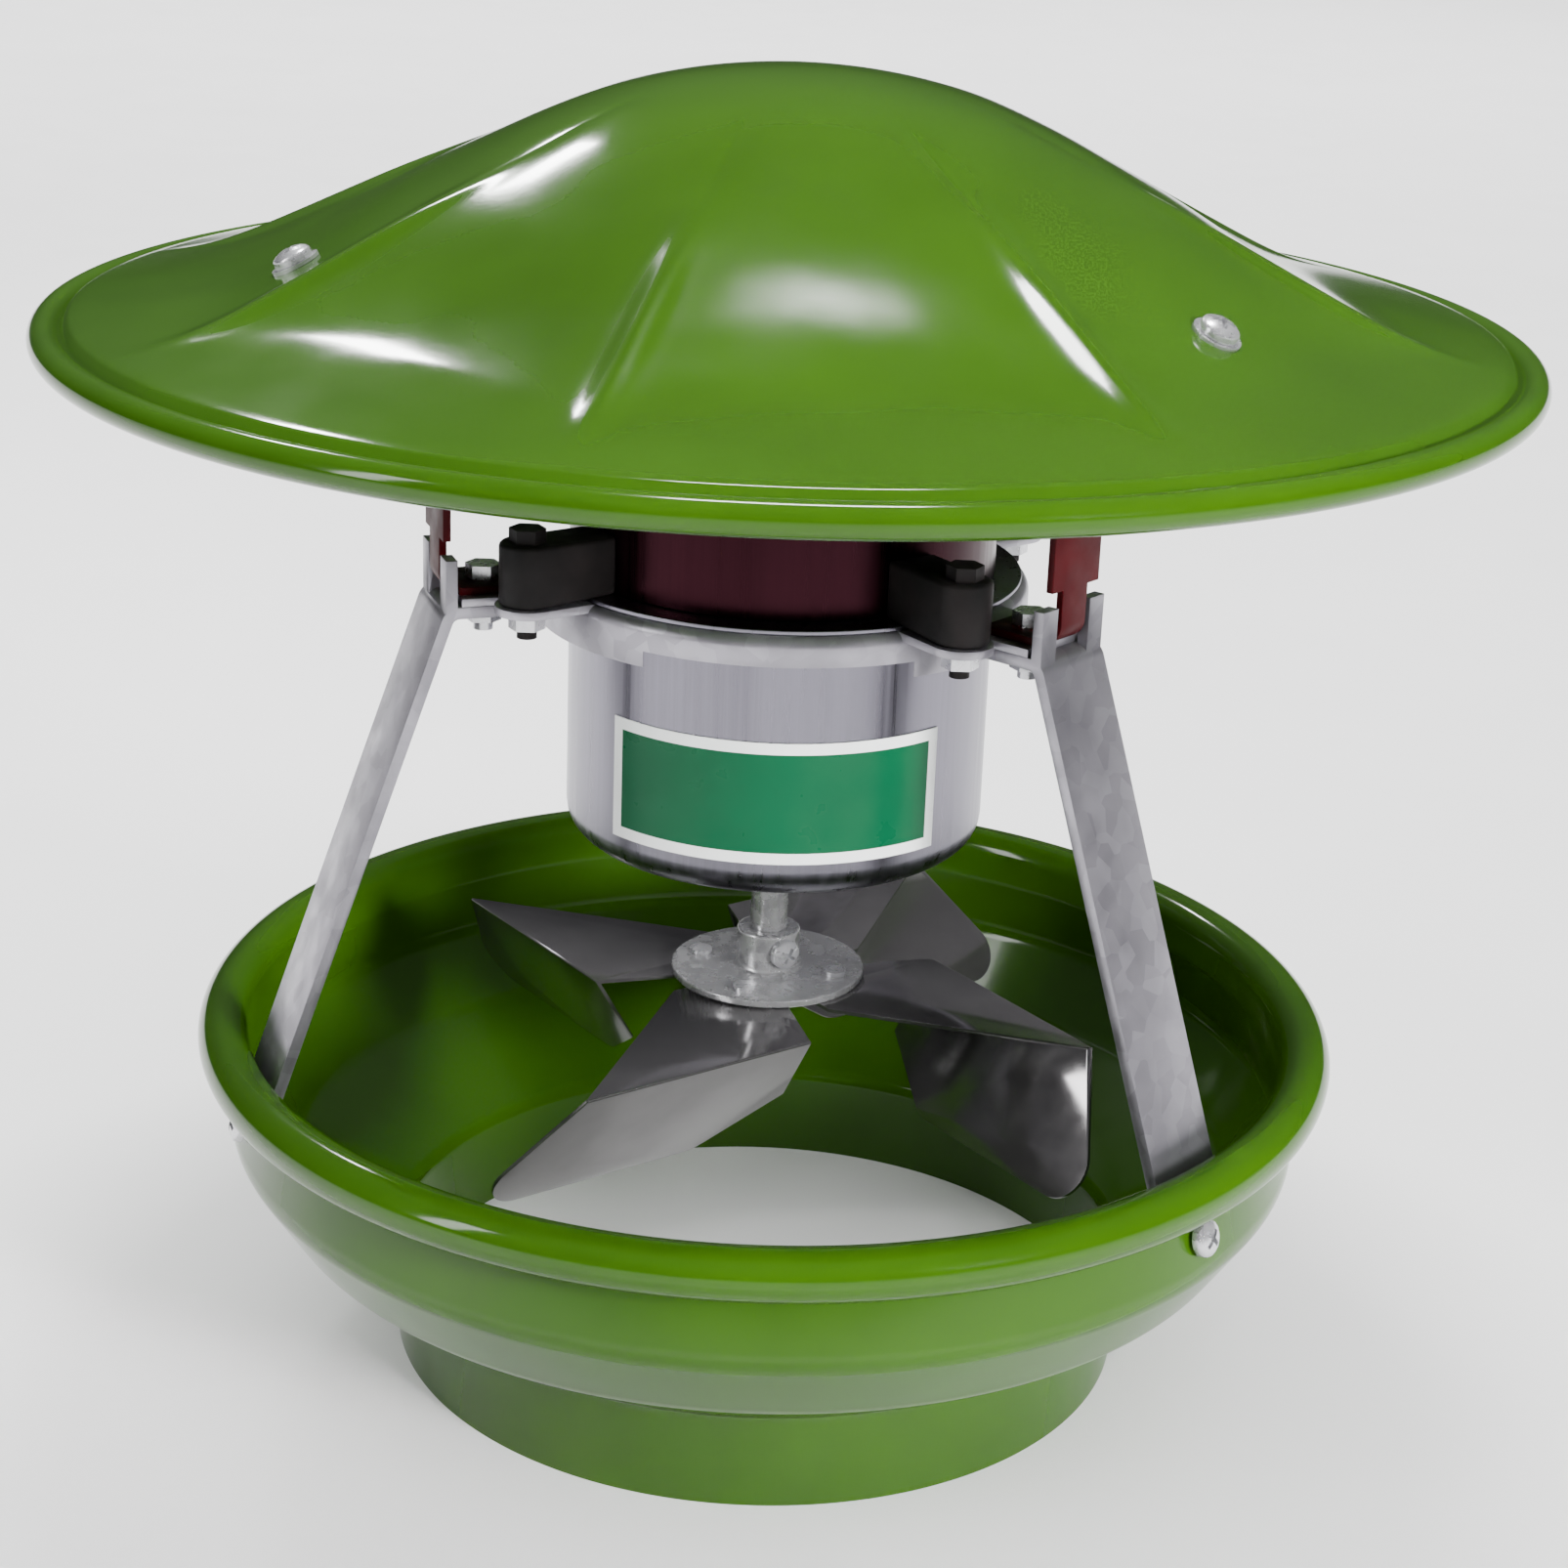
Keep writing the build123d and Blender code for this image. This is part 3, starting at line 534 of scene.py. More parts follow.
def drawn_steel_finish(name, colour):
    """Drawn steel of a motor shell with fine upright streaks."""
    finish = Finish(name)
    upright = finish.stretched((420.0, 420.0, 9.0))
    streaks = finish.noise(scale=1.0, detail=5.0, roughness=0.6, vector=upright)
    bands = finish.noise(scale=1.0, detail=2.0, vector=finish.stretched((60.0, 60.0, 3.0)))
    fine = finish.tint(streaks, colour, 0.72, 1.22)
    broad = finish.tint(bands, colour, 0.80, 1.15, low=0.35)
    finish.colour(finish.mixed(finish.between(bands, low=0.3, high=0.6), fine, broad))
    finish.roughness(streaks, low=0.24, high=0.40)
    finish.bump(streaks, strength=0.10, distance=0.06 * MM)
    finish.set(Metallic=1.0)
    return finish.material


def painted_shade_ear_finish():
    """Near-black finish of the motor's ears and bolts, painted shade of the deep shadow under the cap."""
    finish = Finish("painted_shade_ear")
    finish.colour(finish.ramp(finish.noise(scale=90.0, detail=4.0), EAR_SHADE_DARK, EAR_SHADE_LIGHT))
    finish.roughness(finish.noise(scale=200.0), low=0.48, high=0.64)
    finish.bump(finish.noise(scale=900.0), strength=0.2, distance=0.06 * MM)
    finish.set(Specular_IOR_Level=0.14)
    return finish.material


def polished_sheet_finish():
    """Bright rolled sheet of the fan blades, with light smears and shallow waves."""
    finish = Finish("blade_steel")
    smear = finish.noise(scale=26.0, detail=6.0, roughness=0.6)
    finish.colour(finish.tint(smear, colours().blade, 0.78, 1.12, low=0.32, high=0.72))
    finish.roughness(smear, low=0.07, high=0.22)
    finish.bump(finish.noise(scale=34.0, detail=2.0), strength=0.06, distance=0.40 * MM)
    finish.set(Metallic=0.92)
    return finish.material


def turned_metal_finish(name, colour, low, high):
    """Machined or plated metal with fine variation."""
    finish = Finish(name)
    grain = finish.noise(scale=260.0, detail=4.0)
    finish.colour(finish.tint(grain, colour, 0.82, 1.1))
    finish.roughness(grain, low, high)
    finish.bump(finish.noise(scale=700.0), strength=0.02, distance=0.03 * MM)
    finish.set(Metallic=0.82)
    return finish.material


def printed_finish(name, colour):
    """Printed film on the rating plate."""
    finish = Finish(name)
    finish.colour(finish.tint(finish.noise(scale=45.0, detail=4.0), colour, 0.9, 1.08))
    finish.roughness(finish.noise(scale=160.0), low=0.26, high=0.38)
    finish.bump(finish.noise(scale=800.0), strength=0.05, distance=0.04 * MM)
    finish.set(Specular_IOR_Level=0.16)
    return finish.material


def rubber_finish():
    """Matt black rubber of the cable grommet."""
    finish = Finish("black_rubber")
    finish.colour(finish.ramp(finish.noise(scale=110.0, detail=4.0), RUBBER_DARK, RUBBER_LIGHT))
    finish.roughness(finish.noise(scale=240.0), low=0.55, high=0.75)
    finish.bump(finish.noise(scale=500.0), strength=0.15, distance=0.08 * MM)
    return finish.material


def floor_finish():
    """Pale matt floor of the studio."""
    finish = Finish("studio_floor")
    finish.colour(finish.tint(finish.noise(scale=3.0), colours().floor, 0.985, 1.015))
    finish.roughness(finish.noise(scale=20.0), low=0.6, high=0.75)
    return finish.material


FINISHES = {}


def make_finishes():
    """Makes every finish of the fan once."""
    FINISHES["green_enamel"] = enamel_finish()
    FINISHES["galvanised_steel"] = galvanised_finish()
    FINISHES["red_primer"] = primer_finish()
    FINISHES["motor_steel"] = drawn_steel_finish("motor_steel", colours().shell)
    # The upper shell is the motor steel again, with painted shade and a painted red reflection in its
    # darker colour
    FINISHES["motor_casting"] = drawn_steel_finish("motor_casting", colours().crown)
    FINISHES["painted_shade_ear"] = painted_shade_ear_finish()
    FINISHES["blade_steel"] = polished_sheet_finish()
    FINISHES["plate_print"] = printed_finish("plate_print", colours().plate_field)
    FINISHES["plate_border"] = printed_finish("plate_border", colours().plate_edge)
    FINISHES["black_rubber"] = rubber_finish()
    for name, (colour, low, high) in METALS.items():
        FINISHES[name] = turned_metal_finish(name, colour, low, high)


# Modelling helpers

def clear_selection():
    """Leaves nothing selected and no object active."""
    bpy.ops.object.select_all(action="DESELECT")
    bpy.context.view_layer.objects.active = None


def activate(piece):
    """Selects one piece alone."""
    clear_selection()
    piece.select_set(True)
    bpy.context.view_layer.objects.active = piece


def named(name):
    """The active object, given a name that its mesh shares."""
    piece = bpy.context.object
    piece.name = name
    piece.data.name = name
    return piece


def joined(name, parts):
    """Several objects joined into one named piece."""
    activate(parts[0])
    for part in parts:
        part.select_set(True)
    if len(parts) > 1:
        bpy.ops.object.join()
    return named(name)


def apply_modifier(piece, kind, **settings):
    """Adds a modifier, sets it and applies it."""
    activate(piece)
    modifier = piece.modifiers.new(kind.title(), kind)
    for name, value in settings.items():
        setattr(modifier, name, value)
    bpy.ops.object.modifier_apply(modifier=modifier.name)


def bevel_edges(piece, width, segments):
    """Rounds the sharp edges of a piece."""
    apply_modifier(
        piece, "BEVEL", width=width, segments=segments, limit_method="ANGLE", angle_limit=EDGE_ANGLE
    )


def smooth(piece, degrees):
    """Smooth shading with crisp folds."""
    activate(piece)
    bpy.ops.object.shade_smooth_by_angle(angle=math.radians(degrees))


def finish_piece(piece, slot, body, *nodes):
    """Gives a piece its finish and the body it moves with, and hides the nodes it stands for."""
    if not piece.data.materials:
        piece.data.materials.append(FINISHES[slot])
    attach(piece, body)
    if nodes:
        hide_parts(*nodes)


def turned(name, outline, steps):
    """Turned piece: a circle extruded ring by ring along an outline of radius and height."""
    clear_selection()
    radius, height = outline[0]
    bpy.ops.mesh.primitive_circle_add(vertices=steps, radius=radius, fill_type="NOTHING")
    piece = named(name)
    bpy.ops.object.mode_set(mode="EDIT")
    bpy.ops.mesh.select_all(action="SELECT")
    bpy.ops.transform.translate(value=(0.0, 0.0, height))
    for next_radius, next_height in outline[1:]:
        rise = (0.0, 0.0, next_height - height)
        bpy.ops.mesh.extrude_edges_move(TRANSFORM_OT_translate={"value": rise})
        if next_radius < MERGE:
            bpy.ops.mesh.merge(type="CENTER")
            break
        ratio = next_radius / radius
        bpy.ops.transform.resize(value=(ratio, ratio, 1.0), center_override=(0.0, 0.0, next_height))
        radius, height = next_radius, next_height
    bpy.ops.mesh.select_all(action="SELECT")
    bpy.ops.mesh.remove_doubles(threshold=MERGE)
    bpy.ops.mesh.normals_make_consistent(inside=False)
    bpy.ops.object.mode_set(mode="OBJECT")
    return piece


def close_ends(piece):
    """Fills the open ends of a turned piece."""
    activate(piece)
    bpy.ops.object.mode_set(mode="EDIT")
    bpy.ops.mesh.select_all(action="DESELECT")
    bpy.ops.mesh.select_non_manifold()
    bpy.ops.mesh.edge_face_add()
    bpy.ops.mesh.select_all(action="SELECT")
    bpy.ops.mesh.normals_make_consistent(inside=False)
    bpy.ops.object.mode_set(mode="OBJECT")


def arc(middle, radius, turn, steps):
    """Points on an arc from one angle to another, in degrees."""
    start, end = turn
    points = []
    for step in range(steps + 1):
        angle = math.radians(start + (end - start) * step / steps)
        points.append((middle[0] + radius * math.cos(angle), middle[1] + radius * math.sin(angle)))
    return points


def rounded(corners, radii, steps):
    """Outline through corners, each inner corner rounded to its radius."""
    outline = [corners[0]]
    for before, corner, after, radius in zip(corners, corners[1:], corners[2:], radii):
        here = Vector(corner)
        back = (Vector(before) - here).normalized()
        ahead = (Vector(after) - here).normalized()
        half = back.angle(ahead) / 2
        reach = radius / math.tan(half)
        middle = here + (back + ahead).normalized() * radius / math.sin(half)
        first = here + back * reach - middle
        last = here + ahead * reach - middle
        sweep = first.angle_signed(last)
        for step in range(steps + 1):
            turn = Matrix.Rotation(-sweep * step / steps, 2)
            outline.append(tuple(middle + turn @ first))
    outline.append(corners[-1])
    return outline


def around(radius, azimuth, height):
    """Point from radius, azimuth in degrees and height."""
    angle = math.radians(azimuth)
    return Vector((radius * math.cos(angle), radius * math.sin(angle), height))


def dressed_copy(node, name, bevel):
    """Copy of a node's solid with merged points, small edge bevels and smooth bends."""
    piece = bpy.data.objects.new(name, NODES[node].data.copy())
    piece.data.name = name
    piece.data.materials.clear()
    bpy.context.scene.collection.objects.link(piece)
    activate(piece)
    bpy.ops.object.mode_set(mode="EDIT")
    bpy.ops.mesh.select_all(action="SELECT")
    bpy.ops.mesh.remove_doubles(threshold=NODE_MERGE)
    bpy.ops.mesh.dissolve_limited(angle_limit=FLAT_ANGLE)
    bpy.ops.object.mode_set(mode="OBJECT")
    bevel_edges(piece, width=bevel, segments=2)
    smooth(piece, degrees=30.0)
    return piece


# Cap

def soft_lowest(values, softness):
    """Smooth minimum of several heights."""
    floor = min(values)
    return floor - softness * math.log(sum(math.exp((floor - value) / softness) for value in values))


def ease(value, start, end):
    """Smooth step from 0 to 1."""
    share = min(1.0, max(0.0, (value - start) / (end - start)))
    return share * share * (3.0 - 2.0 * share)


class CapForm:
    """Heights of the pressed cap's outer skin."""

    def __init__(self, settings):
        self.settings = settings
        self.pitch = 2.0 * math.pi / settings.ridge_count
        self.facet_slope = settings.ridge_slope / math.cos(self.pitch / 2)
        self.bead_radius = settings.cap_bead
        edge = min(CAP_HIGH.x, CAP_HIGH.y, -CAP_LOW.x, -CAP_LOW.y)
        self.bead_middle = (edge - self.bead_radius, CAP_LOW.z + self.bead_radius)
        self.datum = self.bead_middle[1] + DATUM_OVER_BEAD
        self.apex = settings.ridge_foot_height + settings.ridge_foot * settings.ridge_slope
        rise = CAP_HIGH.z - self.datum
        tilt = math.atan(settings.ridge_slope)
        self.crown = (self.apex - rise) / (settings.ridge_slope * math.sin(tilt) - 1.0 + math.cos(tilt))
        self.crown_edge = self.crown * math.sin(tilt)
        self.crown_middle = rise - self.crown

    def brim(self, radius):
        """Height of the brim above the datum."""
        settings = self.settings
        return settings.ridge_foot_height + (settings.ridge_foot - radius) * settings.brim_slope

    def crest(self, radius):
        """Height of the domed crown, continued by the line of the ridges."""
        if radius < self.crown_edge:
            return self.crown_middle + math.sqrt(self.crown**2 - radius**2)
        return self.apex - radius * self.settings.ridge_slope

    def height(self, radius, angle):
        """Height of the outer skin above the frame's origin."""
        phase = (angle - self.settings.ridge_phase) % self.pitch - self.pitch / 2
        softness = self.settings.ridge_softness
        heights = [
            self.apex - self.facet_slope * radius * math.cos(phase - turn * self.pitch)
            for turn in (-1, 0, 1)
        ]
        heights.append(self.crest(radius))
        across = 1.0 - (2.0 * phase / self.pitch) ** 2
        swell = self.settings.facet_swell * across * ease(radius, *SWELL_COMES)
        swell *= 1.0 - ease(radius, *SWELL_GOES)
        off_ridge = radius * math.sin(self.pitch / 2 - abs(phase)) / self.settings.rib_width
        rib = self.settings.rib_height * math.exp(-(off_ridge**2)) * ease(radius, *RIB_COMES)
        pressed = soft_lowest(heights, softness) + swell + rib
        return self.datum - soft_lowest([-self.brim(radius), -pressed], BRIM_SOFTER * softness)


class FAN_OT_cap(Operator):
    """Model the ridged rain cap"""

    bl_idname = "draught_fan.cap"
    bl_label = "Rain Cap"

    def execute(self, context):
        settings = sizes()
        form = CapForm(settings)
        outline = arc(form.bead_middle, form.bead_radius, CAP_BEAD_TURN, BEAD_STEPS)
        groove = outline[-1]
        shoulder = groove[0] - SHOULDER_IN
        outline.append((groove[0] - GROOVE_IN, groove[1] + GROOVE_UP))
        outline.append((shoulder, form.datum + form.brim(shoulder) - SHOULDER_DIP))
        radius = shoulder - FIRST_RING_IN
        while radius > LAST_RING:
            outline.append((radius, form.datum + form.brim(radius)))
            radius -= RING_STEP
        outline.append((0.0, form.height(0.0, 0.0)))
        piece = turned("cap_skin", outline, settings.cap_steps)
        for point in piece.data.vertices:
            reach = math.hypot(point.co.x, point.co.y)
            if reach < shoulder - SHOULDER_MARGIN:
                point.co.z = form.height(reach, math.atan2(point.co.y, point.co.x))
        apply_modifier(piece, "SOLIDIFY", thickness=settings.sheet, offset=-1.0)
        smooth(piece, degrees=50.0)
        finish_piece(piece, "green_enamel", HOUSING, "cap")
        return {"FINISHED"}


# Bowl

class FAN_OT_bowl(Operator):
    """Model the bowl with its pipe collar and rolled rim"""

    bl_idname = "draught_fan.bowl"
    bl_label = "Base Bowl"

    def execute(self, context):
        settings = sizes()
        bead = (BOWL_HIGH.x - THROAT_RADIUS) / 2
        bead_middle = (THROAT_RADIUS + bead, BOWL_HIGH.z - bead)
        corners = [(COLLAR_RADIUS, 0.0)]
        corners += [(radius, height) for radius, height, bend in BOWL_BENDS]
        corners.append((THROAT_RADIUS, bead_middle[1]))
        outline = rounded(corners, [bend for radius, height, bend in BOWL_BENDS], steps=10)
        outline += arc(bead_middle, bead, BOWL_BEAD_TURN, BEAD_STEPS)[1:]
        piece = turned("bowl_skin", outline, settings.turn_steps * 2)
        apply_modifier(piece, "SOLIDIFY", thickness=settings.sheet, offset=1.0)
        smooth(piece, degrees=40.0)
        finish_piece(piece, "green_enamel", HOUSING, "base_bowl")
        return {"FINISHED"}


# Motor

class FAN_OT_motor(Operator):
    """Model the motor's shells, its ears and the spindle"""

    bl_idname = "draught_fan.motor"
    bl_label = "Motor"

    def execute(self, context):
        lower = self.can()
        smooth(lower, degrees=40.0)
        finish_piece(lower, "motor_steel", HOUSING, "motor_lower_shell")

        upper = self.crown()
        smooth(upper, degrees=40.0)
        finish_piece(upper, "motor_casting", HOUSING, "motor_upper_shell")

        ears = self.ears()
        smooth(ears, degrees=40.0)
        # The ears are near-black: painted shade of the deep shadow under the cap
        ears.data.materials.append(FINISHES["painted_shade_ear"])
        finish_piece(ears, "motor_casting", HOUSING)

        spindle = self.spindle()
        smooth(spindle, degrees=35.0)
        finish_piece(spindle, "bright_steel", ROTOR, "shaft")
        return {"FINISHED"}

    def can(self):
        """Lower shell, flanged at the top, with a hole for the spindle in its floor."""
        corners = [
            (SPINDLE_HOLE, SHELL_LOW.z),
            (MOTOR_RADIUS, SHELL_LOW.z),
            (MOTOR_RADIUS, MOTOR_SEAT),
            (SHELL_HIGH.x, MOTOR_SEAT),
            (SHELL_HIGH.x, SHELL_HIGH.z),
            (MOTOR_BORE, SHELL_HIGH.z),
            (MOTOR_BORE, SHELL_LOW.z + MOTOR_WALL),
            (SPINDLE_HOLE, SHELL_LOW.z + MOTOR_WALL),
            (SPINDLE_HOLE, SHELL_LOW.z),
        ]
        return turned("motor_can", rounded(corners, CAN_ROUNDING, steps=6), sizes().turn_steps)

    def crown(self):
        """Upper shell, rounded at the top."""
        base = SHELL_HIGH.z + SHELL_GAP
        corners = [
            (MOTOR_BORE, base),
            (MOTOR_RADIUS, base),
            (MOTOR_RADIUS, CROWN_HIGH.z),
            (0.0, CROWN_HIGH.z),
        ]
        outline = rounded(corners, CROWN_ROUNDING, steps=10)
        outline.insert(-1, (CROWN_FLAT, CROWN_HIGH.z))
        piece = turned("motor_crown", outline, sizes().turn_steps)
        apply_modifier(piece, "SOLIDIFY", thickness=MOTOR_WALL, offset=-1.0)
        return piece

    def ears(self):
        """Four bolt ears round the upper shell, joined into one piece."""
        made = []
        for azimuth in EAR_AZIMUTHS:
            clear_selection()
            bpy.ops.mesh.primitive_cylinder_add(
                vertices=EAR_STEPS,
                radius=EAR_RADIUS,
                depth=EAR_TOP - MOTOR_SEAT,
                location=(EAR_BOLT_AT, 0.0, (MOTOR_SEAT + EAR_TOP) / 2),
            )
            ear = bpy.context.object
            bpy.ops.object.transform_apply(location=True, rotation=False, scale=False)
            for point in ear.data.vertices:
                if point.co.x < EAR_BOLT_AT - EAR_SINK:
                    point.co.y = math.copysign(EAR_RADIUS, point.co.y)
                    point.co.x = MOTOR_RADIUS - EAR_SINK
                    point.co.z = max(point.co.z, EAR_ROOT_LOW)
            activate(ear)
            bpy.ops.object.mode_set(mode="EDIT")
            bpy.ops.mesh.select_all(action="SELECT")
            bpy.ops.mesh.remove_doubles(threshold=MERGE)
            bpy.ops.object.mode_set(mode="OBJECT")
            ear.data.transform(Matrix.Rotation(math.radians(azimuth), 4, "Z"))
            made.append(ear)
        piece = joined("motor_ears", made)
        bevel_edges(piece, width=EAR_BEVEL, segments=3)
        return piece

    def spindle(self):
        """Shaft with a chamfer at its lower end."""
        radius = SHAFT_HIGH.x
        outline = [
            (SPINDLE_CENTRE, SHAFT_LOW.z),
            (radius - SPINDLE_CHAMFER, SHAFT_LOW.z),
            (radius, SHAFT_LOW.z + SPINDLE_CHAMFER),
            (radius, SPINDLE_RING),
            (radius, SHAFT_HIGH.z),
            (SPINDLE_CENTRE, SHAFT_HIGH.z),
        ]
        piece = turned("spindle", outline, SPINDLE_STEPS)
        close_ends(piece)
        return piece


class FAN_OT_plate(Operator):
    """Model the bare rating plate on the motor"""

    bl_idname = "draught_fan.plate"
    bl_label = "Rating Plate"

    def execute(self, context):
        border = sizes().plate_border
        half_width = PLATE_RADIUS * math.radians(PLATE_HALF_SPAN)
        half_height = (PLATE_HIGH.z - PLATE_LOW.z) / 2
        middle = (PLATE_LOW.z + PLATE_HIGH.z) / 2
        columns = round(2.0 * half_width / border * BORDER_CELLS)
        rows = round(2.0 * half_height / border * BORDER_CELLS)
        clear_selection()
        bpy.ops.mesh.primitive_grid_add(x_subdivisions=columns, y_subdivisions=rows, size=2.0)
        piece = named("rating_label")
        piece.data.materials.append(FINISHES["plate_border"])
        piece.data.materials.append(FINISHES["plate_print"])
        for face in piece.data.polygons:
            across = (1.0 - abs(face.center.x)) * half_width
            upward = (1.0 - abs(face.center.y)) * half_height
            face.material_index = 1 if min(across, upward) > border else 0
        for point in piece.data.vertices:
            azimuth = PLATE_AZIMUTH + point.co.x * PLATE_HALF_SPAN
            point.co = around(PLATE_RADIUS, azimuth, middle + point.co.y * half_height)
        apply_modifier(piece, "SOLIDIFY", thickness=PLATE_THICKNESS, offset=1.0)
        smooth(piece, degrees=40.0)
        finish_piece(piece, "plate_print", HOUSING, "rating_plate")
        return {"FINISHED"}


# Folded sheet pieces

class FAN_OT_folded(Operator):
    """Model the bracket, the legs and the stays"""

    bl_idname = "draught_fan.folded"
    bl_label = "Bracket, Legs and Stays"

    def execute(self, context):
        bevel = sizes().edge_bevel
        bracket = dressed_copy("motor_bracket", "bracket_plate", bevel)
        finish_piece(bracket, "galvanised_steel", HOUSING, "motor_bracket")
        for index in LEGS:
            leg = dressed_copy(f"leg_{index}", f"leg_bar_{index}", bevel)
            finish_piece(leg, "galvanised_steel", HOUSING, f"leg_{index}")
            stay = dressed_copy(f"cap_stay_{index}", f"stay_strip_{index}", bevel)
            finish_piece(stay, "red_primer", HOUSING, f"cap_stay_{index}")
        return {"FINISHED"}


# Fan

class FAN_OT_fan(Operator):
    """Model the hub and the blades of the fan"""

    bl_idname = "draught_fan.fan"
    bl_label = "Fan"

    def execute(self, context):
        disc_top = HUB_LOW.z + HUB_DISC
        corners = [
            (HUB_BORE, HUB_LOW.z),
            (HUB_HIGH.x, HUB_LOW.z),
            (HUB_HIGH.x, disc_top),
            (HUB_BOSS, disc_top),
            (HUB_BOSS, HUB_HIGH.z),
            (HUB_BORE, HUB_HIGH.z),
            (HUB_BORE, HUB_LOW.z),
        ]
        hub = turned("hub_turned", rounded(corners, HUB_ROUNDING, steps=5), HUB_STEPS)
        smooth(hub, degrees=40.0)
        finish_piece(hub, "bright_steel", ROTOR, "fan_hub")
        for index in BLADES:
            blade = dressed_copy(f"fan_blade_{index}", f"blade_sheet_{index}", BLADE_BEVEL)
            finish_piece(blade, "blade_steel", ROTOR, f"fan_blade_{index}")
        return {"FINISHED"}


# Screws

def round_screw(head_radius, head_height, shank_radius, length):
    """Round-headed cross-recess screw along Z, seat at the origin, head upward."""
    outline = [
        (shank_radius * POINT_CENTRE, -length),
        (shank_radius * POINT_RADIUS, -length),
        (shank_radius, -length + shank_radius * POINT_LENGTH),
        (shank_radius, 0.0),
        (head_radius, 0.0),
        (head_radius, head_height * HEAD_SIDE),
    ]
    for share in reversed(CROWN_SHARES):
        drop = max(0.0, 1.0 - share**2 * CROWN_DROP)
        outline.append((head_radius * share, head_height * math.sqrt(drop)))
    screw = turned("screw", outline, SCREW_STEPS)
    close_ends(screw)
    for turn in (0.0, math.radians(90.0)):
        clear_selection()
        bpy.ops.mesh.primitive_cube_add(size=1.0)
        cutter = bpy.context.object
        slot = Matrix.Diagonal((head_radius * RECESS_LENGTH, head_radius * RECESS_WIDTH, head_height, 1.0))
        lift = Matrix.Translation((0.0, 0.0, head_height * RECESS_MIDDLE))
        cutter.data.transform(Matrix.Rotation(turn, 4, "Z") @ lift @ slot)
        apply_modifier(screw, "BOOLEAN", object=cutter, operation="DIFFERENCE", solver="EXACT")
        bpy.data.objects.remove(cutter, do_unlink=True)
    return screw


def placed_screws(name, pattern, places):
    """Copies of a screw, each with its own mesh, joined at their places."""
    made = []
    for place in places:
        screw = bpy.data.objects.new(name, pattern.data.copy())
        bpy.context.scene.collection.objects.link(screw)
        screw.data.transform(place)
        made.append(screw)
    bpy.data.objects.remove(pattern, do_unlink=True)
    piece = joined(name, made)
    smooth(piece, degrees=35.0)
    return piece


def upright_at(place, axis):
    """Transform that sets a screw's seat at a place with its head along an axis."""
    turn = Vector((0.0, 0.0, 1.0)).rotation_difference(Vector(axis))
    return Matrix.Translation(place) @ turn.to_matrix().to_4x4()


class FAN_OT_screws(Operator):
    """Model the round-headed screws of the cap, the bowl and the hub"""

    bl_idname = "draught_fan.screws"
    bl_label = "Round Screws"

    def execute(self, context):
        head = sizes().screw_head
        pattern = round_screw(head, *CAP_SCREW)
        screws = placed_screws("cap_screws", pattern, self.cap_places())
        finish_piece(screws, "zinc_fastener", HOUSING, "cap_bolts")

        pattern = round_screw(head, *FOOT_SCREW)
        screws = placed_screws("foot_screws", pattern, self.foot_places())
        finish_piece(screws, "zinc_fastener", HOUSING, "foot_bolts")

        axis = around(1.0, HUB_SCREW_AZIMUTH, 0.0)
        place = upright_at(around(HUB_SCREW_AT, HUB_SCREW_AZIMUTH, HUB_SCREW_HEIGHT), axis)
        pattern = round_screw(HUB_SCREW_HEAD, *HUB_SCREW)
        screws = placed_screws("hub_screw", pattern, [place])
        finish_piece(screws, "zinc_fastener", ROTOR, "set_screw")
        return {"FINISHED"}

    def cap_places(self):
        """Seats square to the cap's facets, above the stays."""
        settings = sizes()
        form = CapForm(settings)
        pitch = 360.0 / settings.ridge_count
        phase = math.degrees(settings.ridge_phase)
        tilt = math.atan(form.facet_slope)
        places = []
        for azimuth in SUPPORTS:
            facet = phase + (math.floor((azimuth - phase) / pitch) + 0.5) * pitch
            axis = around(math.sin(tilt), facet, math.cos(tilt))
            run = CAP_SCREW_AT * math.cos(math.radians(azimuth - facet))
            seat = around(CAP_SCREW_AT, azimuth, form.datum + form.apex - form.facet_slope * run)
            places.append(upright_at(seat + axis * CAP_SCREW_LIFT, axis))
        return places

    def foot_places(self):
        """Seats square to the bowl's wall, outside the feet of the legs."""
        lean = math.atan(WALL_LEANS_IN / WALL_GOES_UP)
        places = []
        for azimuth in SUPPORTS:
            axis = around(math.cos(lean), azimuth, math.sin(lean))
            wall = around(FOOT_SCREW_AT, azimuth, FOOT_SCREW_HEIGHT)
            places.append(upright_at(wall + axis * FOOT_SCREW_LIFT, axis))
        return places


class FAN_OT_carried(Operator):
    """Finish the solids that are shown as they are"""

    bl_idname = "draught_fan.carried"
    bl_label = "Carried Solids"

    def execute(self, context):
        for node, slot in CARRIED.items():
            mesh = NODES[node].data
            mesh.materials.clear()
            mesh.materials.append(FINISHES[slot])
        return {"FINISHED"}


# Stage

def soft_light(name, place, target, size, power, mirrored, spread=FULL_SPREAD):
    """Soft lamp aimed at a point, seen in reflections or not."""
    lamp = bpy.data.lights.new(name, "AREA")
    lamp.shape = "RECTANGLE"
    lamp.size, lamp.size_y = size
    lamp.energy = power
    lamp.spread = math.radians(spread)
    holder = bpy.data.objects.new(name, lamp)
    holder.location = place
    holder.rotation_euler = (Vector(target) - Vector(place)).to_track_quat("-Z", "Y").to_euler()
    holder.visible_glossy = mirrored
    bpy.context.scene.collection.objects.link(holder)


def open_light(name, direction, strength):
    """Very wide even light from one side, not seen in reflections."""
    lamp = bpy.data.lights.new(name, "SUN")
    lamp.energy = strength
    lamp.angle = math.radians(WIDE_ANGLE)
    holder = bpy.data.objects.new(name, lamp)
    holder.rotation_euler = Vector(direction).to_track_quat("Z", "Y").to_euler()
    holder.visible_glossy = False
    bpy.context.scene.collection.objects.link(holder)


